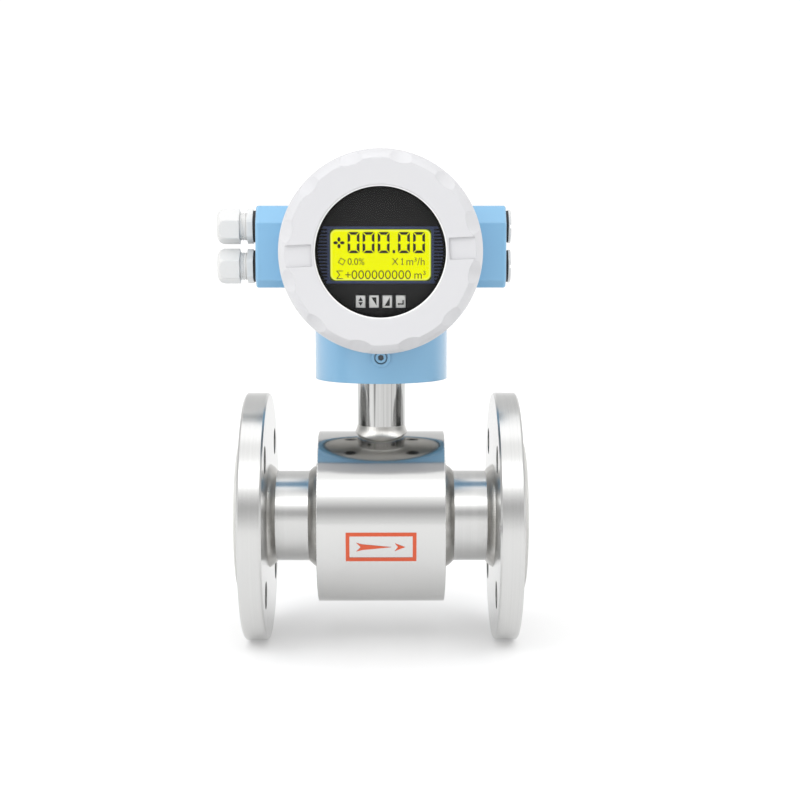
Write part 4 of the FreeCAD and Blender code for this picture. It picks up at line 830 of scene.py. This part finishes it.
work = bmesh.new()
for centre in DIGIT_CENTRES:
    for corners in zero_segments(centre - DIGIT_WIDTH / 2, DIGIT_BOTTOM):
        raise_on_display(work, corners)
raise_on_display(work, [(0, 0), (POINT_WIDTH, 0), (POINT_WIDTH, POINT_HEIGHT), (0, POINT_HEIGHT)],
                 POINT_LEFT, DIGIT_BOTTOM)
display_digits = finished("display_digits", work, display_ink, "meter_body")
print("digits:", len(DIGIT_CENTRES), "noughts and a point,", len(display_digits.data.polygons), "faces")

# %% [markdown]
# The plus is four petals, the tag is a small tilted square frame, and the total's row has nine thin
# noughts. All of them are ovals: a petal is filled, a nought is a ring, and a ring with four sides is the
# tag. So one function makes an oval flat, thickens it and stands it up on the display.

# %% Ovals
def oval(work, x, z, width, height, ring=0.0, segments=24, turn=0.0):
    """A flat oval on the display's face, solid or as a ring of the given stroke, in millimetres."""
    made = bmesh.ops.create_circle(work, cap_ends=not ring, segments=segments, radius=0.5)["verts"]
    bmesh.ops.scale(work, verts=made, vec=(width * mm, height * mm, 1))
    if ring:
        rim = list({e for v in made for e in v.link_edges})
        grown = bmesh.ops.extrude_edge_only(work, edges=rim)
        inner = [v for v in grown["geom"] if isinstance(v, bmesh.types.BMVert)]
        bmesh.ops.scale(work, verts=inner, vec=(1 - 2 * ring / width, 1 - 2 * ring / height, 1))
        made = made + inner
    faces = list({f for v in made for f in v.link_faces})
    grown = bmesh.ops.extrude_face_region(work, geom=faces, use_keep_orig=True)
    top = [v for v in grown["geom"] if isinstance(v, bmesh.types.BMVert)]
    bmesh.ops.translate(work, verts=top, vec=(0, 0, INK))
    whole = made + top
    bmesh.ops.rotate(work, verts=whole, cent=(0, 0, 0), matrix=Matrix.Rotation(turn, 3, "Z"))
    bmesh.ops.rotate(work, verts=whole, cent=(0, 0, 0), matrix=Matrix.Rotation(math.pi / 2, 3, "X"))
    bmesh.ops.translate(work, verts=whole, vec=(display_x + x * mm, display_face_y, display_z + z * mm))


print("ovals stand", INK / mm, "mm proud of the display")

# %% Plus, tag and total
PLUS_X, PLUS_Z = -25.7, 7.5
PETAL_OUT, PETAL_WIDTH, PETAL_LENGTH = 2.05, 2.0, 2.9
TAG_X, TAG_Z, TAG_SIZE, TAG_STROKE, TAG_TURN = -24.0, -4.0, 5.0, 0.65, 15
TOTAL_NOUGHTS, TOTAL_LEFT, TOTAL_Z, TOTAL_STEP = 9, -16.2, -12.15, 4.14
NOUGHT_WIDTH, NOUGHT_HEIGHT, NOUGHT_STROKE = 3.6, 5.5, 0.72

work = bmesh.new()
for dx, dz in ((0, PETAL_OUT), (0, -PETAL_OUT), (-PETAL_OUT, 0), (PETAL_OUT, 0)):
    size = (PETAL_WIDTH, PETAL_LENGTH) if dx == 0 else (PETAL_LENGTH, PETAL_WIDTH)
    oval(work, PLUS_X + dx, PLUS_Z + dz, *size, segments=12)
signs = [finished("display_plus", work, display_ink, "meter_body")]

work = bmesh.new()
oval(work, TAG_X, TAG_Z, TAG_SIZE, TAG_SIZE, ring=TAG_STROKE, segments=4, turn=math.radians(TAG_TURN))
signs.append(finished("display_tag", work, display_ink, "meter_body"))

work = bmesh.new()
for index in range(TOTAL_NOUGHTS):
    oval(work, TOTAL_LEFT + index * TOTAL_STEP, TOTAL_Z, NOUGHT_WIDTH, NOUGHT_HEIGHT, ring=NOUGHT_STROKE)
signs.append(finished("display_total", work, faint_ink, "meter_body"))
print("made of ovals:", [piece.name for piece in signs])

# %% [markdown]
# The sum sign and the one beside the unit have sharp corners, so each is drawn as an outline from its left
# foot. Drawing them keeps their strokes as thin as the display's, which a typeface at this size doesn't.

# %% Sum sign and one
SIGMA = [(0, 5.2), (3.9, 5.2), (3.9, 4.7), (0.8, 4.7), (2.3, 2.6), (0.75, 0.5), (3.9, 0.5), (3.9, 0), (0, 0),
         (0, 0.45), (1.65, 2.6), (0, 4.75)]
ONE = [(0, 0), (1.6, 0), (1.6, 0.35), (1.1, 0.35), (1.1, 4.1), (0.7, 4.1), (0, 3.5), (0, 3.1), (0.55, 3.4),
       (0.55, 0.35), (0, 0.35)]
DRAWN_SIGNS = {"display_sum": (SIGMA, -27.3, -14.8), "display_one": (ONE, 12.6, -6.1)}

for name, (corners, left, bottom) in DRAWN_SIGNS.items():
    work = bmesh.new()
    raise_on_display(work, corners, left, bottom)
    finished(name, work, faint_ink, "meter_body")
print("drawn from corners:", sorted(DRAWN_SIGNS))

# %% [markdown]
# Units and small figures come from Blender's built-in typeface. Text is a curve, so it is made a mesh
# first. Then it is fitted to its box, because the box can be measured on a display and a font size can't.

# %% Lettering
def lettering(name, words, x, z, height, width, material):
    """Words on the display, their box given in millimetres from the display's middle."""
    text = bpy.data.curves.new(name, "FONT")
    text.body = words
    text.extrude = 0.01
    holder = bpy.data.objects.new(name + "_text", text)
    bpy.context.collection.objects.link(holder)
    bpy.context.view_layer.update()
    mesh = bpy.data.meshes.new_from_object(holder.evaluated_get(bpy.context.evaluated_depsgraph_get()))
    bpy.data.objects.remove(holder)
    work = bmesh.new()
    work.from_mesh(mesh)
    low = Vector([min(v.co[i] for v in work.verts) for i in range(3)])
    high = Vector([max(v.co[i] for v in work.verts) for i in range(3)])
    bmesh.ops.translate(work, verts=work.verts, vec=-low)
    scale = (width * mm / (high.x - low.x), height * mm / (high.y - low.y), INK / (high.z - low.z))
    bmesh.ops.scale(work, verts=work.verts, vec=scale)
    bmesh.ops.rotate(work, verts=work.verts, cent=(0, 0, 0), matrix=Matrix.Rotation(math.pi / 2, 3, "X"))
    bmesh.ops.translate(work, verts=work.verts, vec=(display_x + x * mm, display_face_y, display_z + z * mm))
    finished(name, work, material, "meter_body")


lettering("display_percent", "0.0%", -20.4, -6.1, 4.1, 10.4, display_ink)
lettering("display_times", "X", 6.9, -6.1, 4.1, 4.1, faint_ink)
lettering("display_rate_unit", "m³/h", 16.0, -6.3, 4.7, 11.2, faint_ink)
lettering("display_sum_plus", "+", -21.9, -13.9, 3.4, 3.4, faint_ink)
lettering("display_sum_unit", "m³", 20.9, -14.6, 4.9, 6.9, faint_ink)
print("lettering: plain units and numbers only")

# %% [markdown]
# ## Key symbols
# Each key has a printed symbol: a split diamond, two wedges and a return arrow, each about 3 by 5 mm. They
# are flat shapes with the same recipe as the segments, and each rides on its own key.

# %% Key symbols
SYMBOLS = [
    [[(-1.4, 0.35), (0, 2.7), (1.4, 0.35)], [(-1.4, -0.35), (1.4, -0.35), (0, -2.7)]],
    [[(-1.6, 2.6), (1.5, 2.6), (1.6, -2.5)]],
    [[(1.6, 2.7), (1.5, -2.7), (-1.7, -2.7)]],
    [[(1.1, 0.9), (1.9, 0.9), (1.9, -1.9), (1.1, -1.9)], [(-1.0, -1.9), (-1.0, -1.1), (1.1, -1.1), (1.1, -1.9)],
     [(-2.0, -1.5), (-1.0, -0.6), (-1.0, -2.4)]],
]
for index, outlines in enumerate(SYMBOLS):
    key_name = "key_" + str(index + 1)
    key_low, key_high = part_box(key_name)
    centre_x, centre_z = (key_low.x + key_high.x) / 2, (key_low.z + key_high.z) / 2
    work = bmesh.new()
    for corners in outlines:
        raise_outline(work, [(centre_x + x * mm, centre_z + z * mm) for x, z in corners], key_low.y)
    finished("key_symbol_" + str(index + 1), work, key_ink, key_name)
print("key symbols:", len(SYMBOLS))

# %% [markdown]
# ## Gland threads
# Between its collar and its nut each gland shows a few turns of its thread. The ridges are spun from a
# zigzag line that goes once round the gland's axis. They start where the closed nut ends, so the nut never
# meets them.

# %% Gland threads
RIDGES, RIDGE_PITCH = 3, 0.0015
ROOT_RADIUS, CREST_RADIUS = 0.00865, 0.00915
NUT_GAP = 0.00005
SPIN_STEPS = 64

for side_name in ("upper", "lower"):
    nut_low, nut_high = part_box("gland_nut_" + side_name)
    body_low, body_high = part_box("gland_body_" + side_name)
    axis_z = (nut_low.z + nut_high.z) / 2
    start_x = nut_high.x + NUT_GAP
    work = bmesh.new()
    line = []
    for step in range(2 * RIDGES + 1):
        radius = ROOT_RADIUS if step % 2 == 0 else CREST_RADIUS
        line.append(work.verts.new((start_x + step * RIDGE_PITCH / 2, 0, axis_z + radius)))
    edges = [work.edges.new(pair) for pair in zip(line, line[1:])]
    bmesh.ops.spin(work, geom=line + edges, cent=(0, 0, axis_z), axis=(1, 0, 0), angle=2 * math.pi,
                   steps=SPIN_STEPS, use_merge=True)
    finished("gland_thread_" + side_name, work, nylon, "meter_body")
    print(side_name, "gland:", RIDGES, "ridges from x", round(start_x, 4), "on a body from",
          round(body_low.x, 4), "to", round(body_high.x, 4))
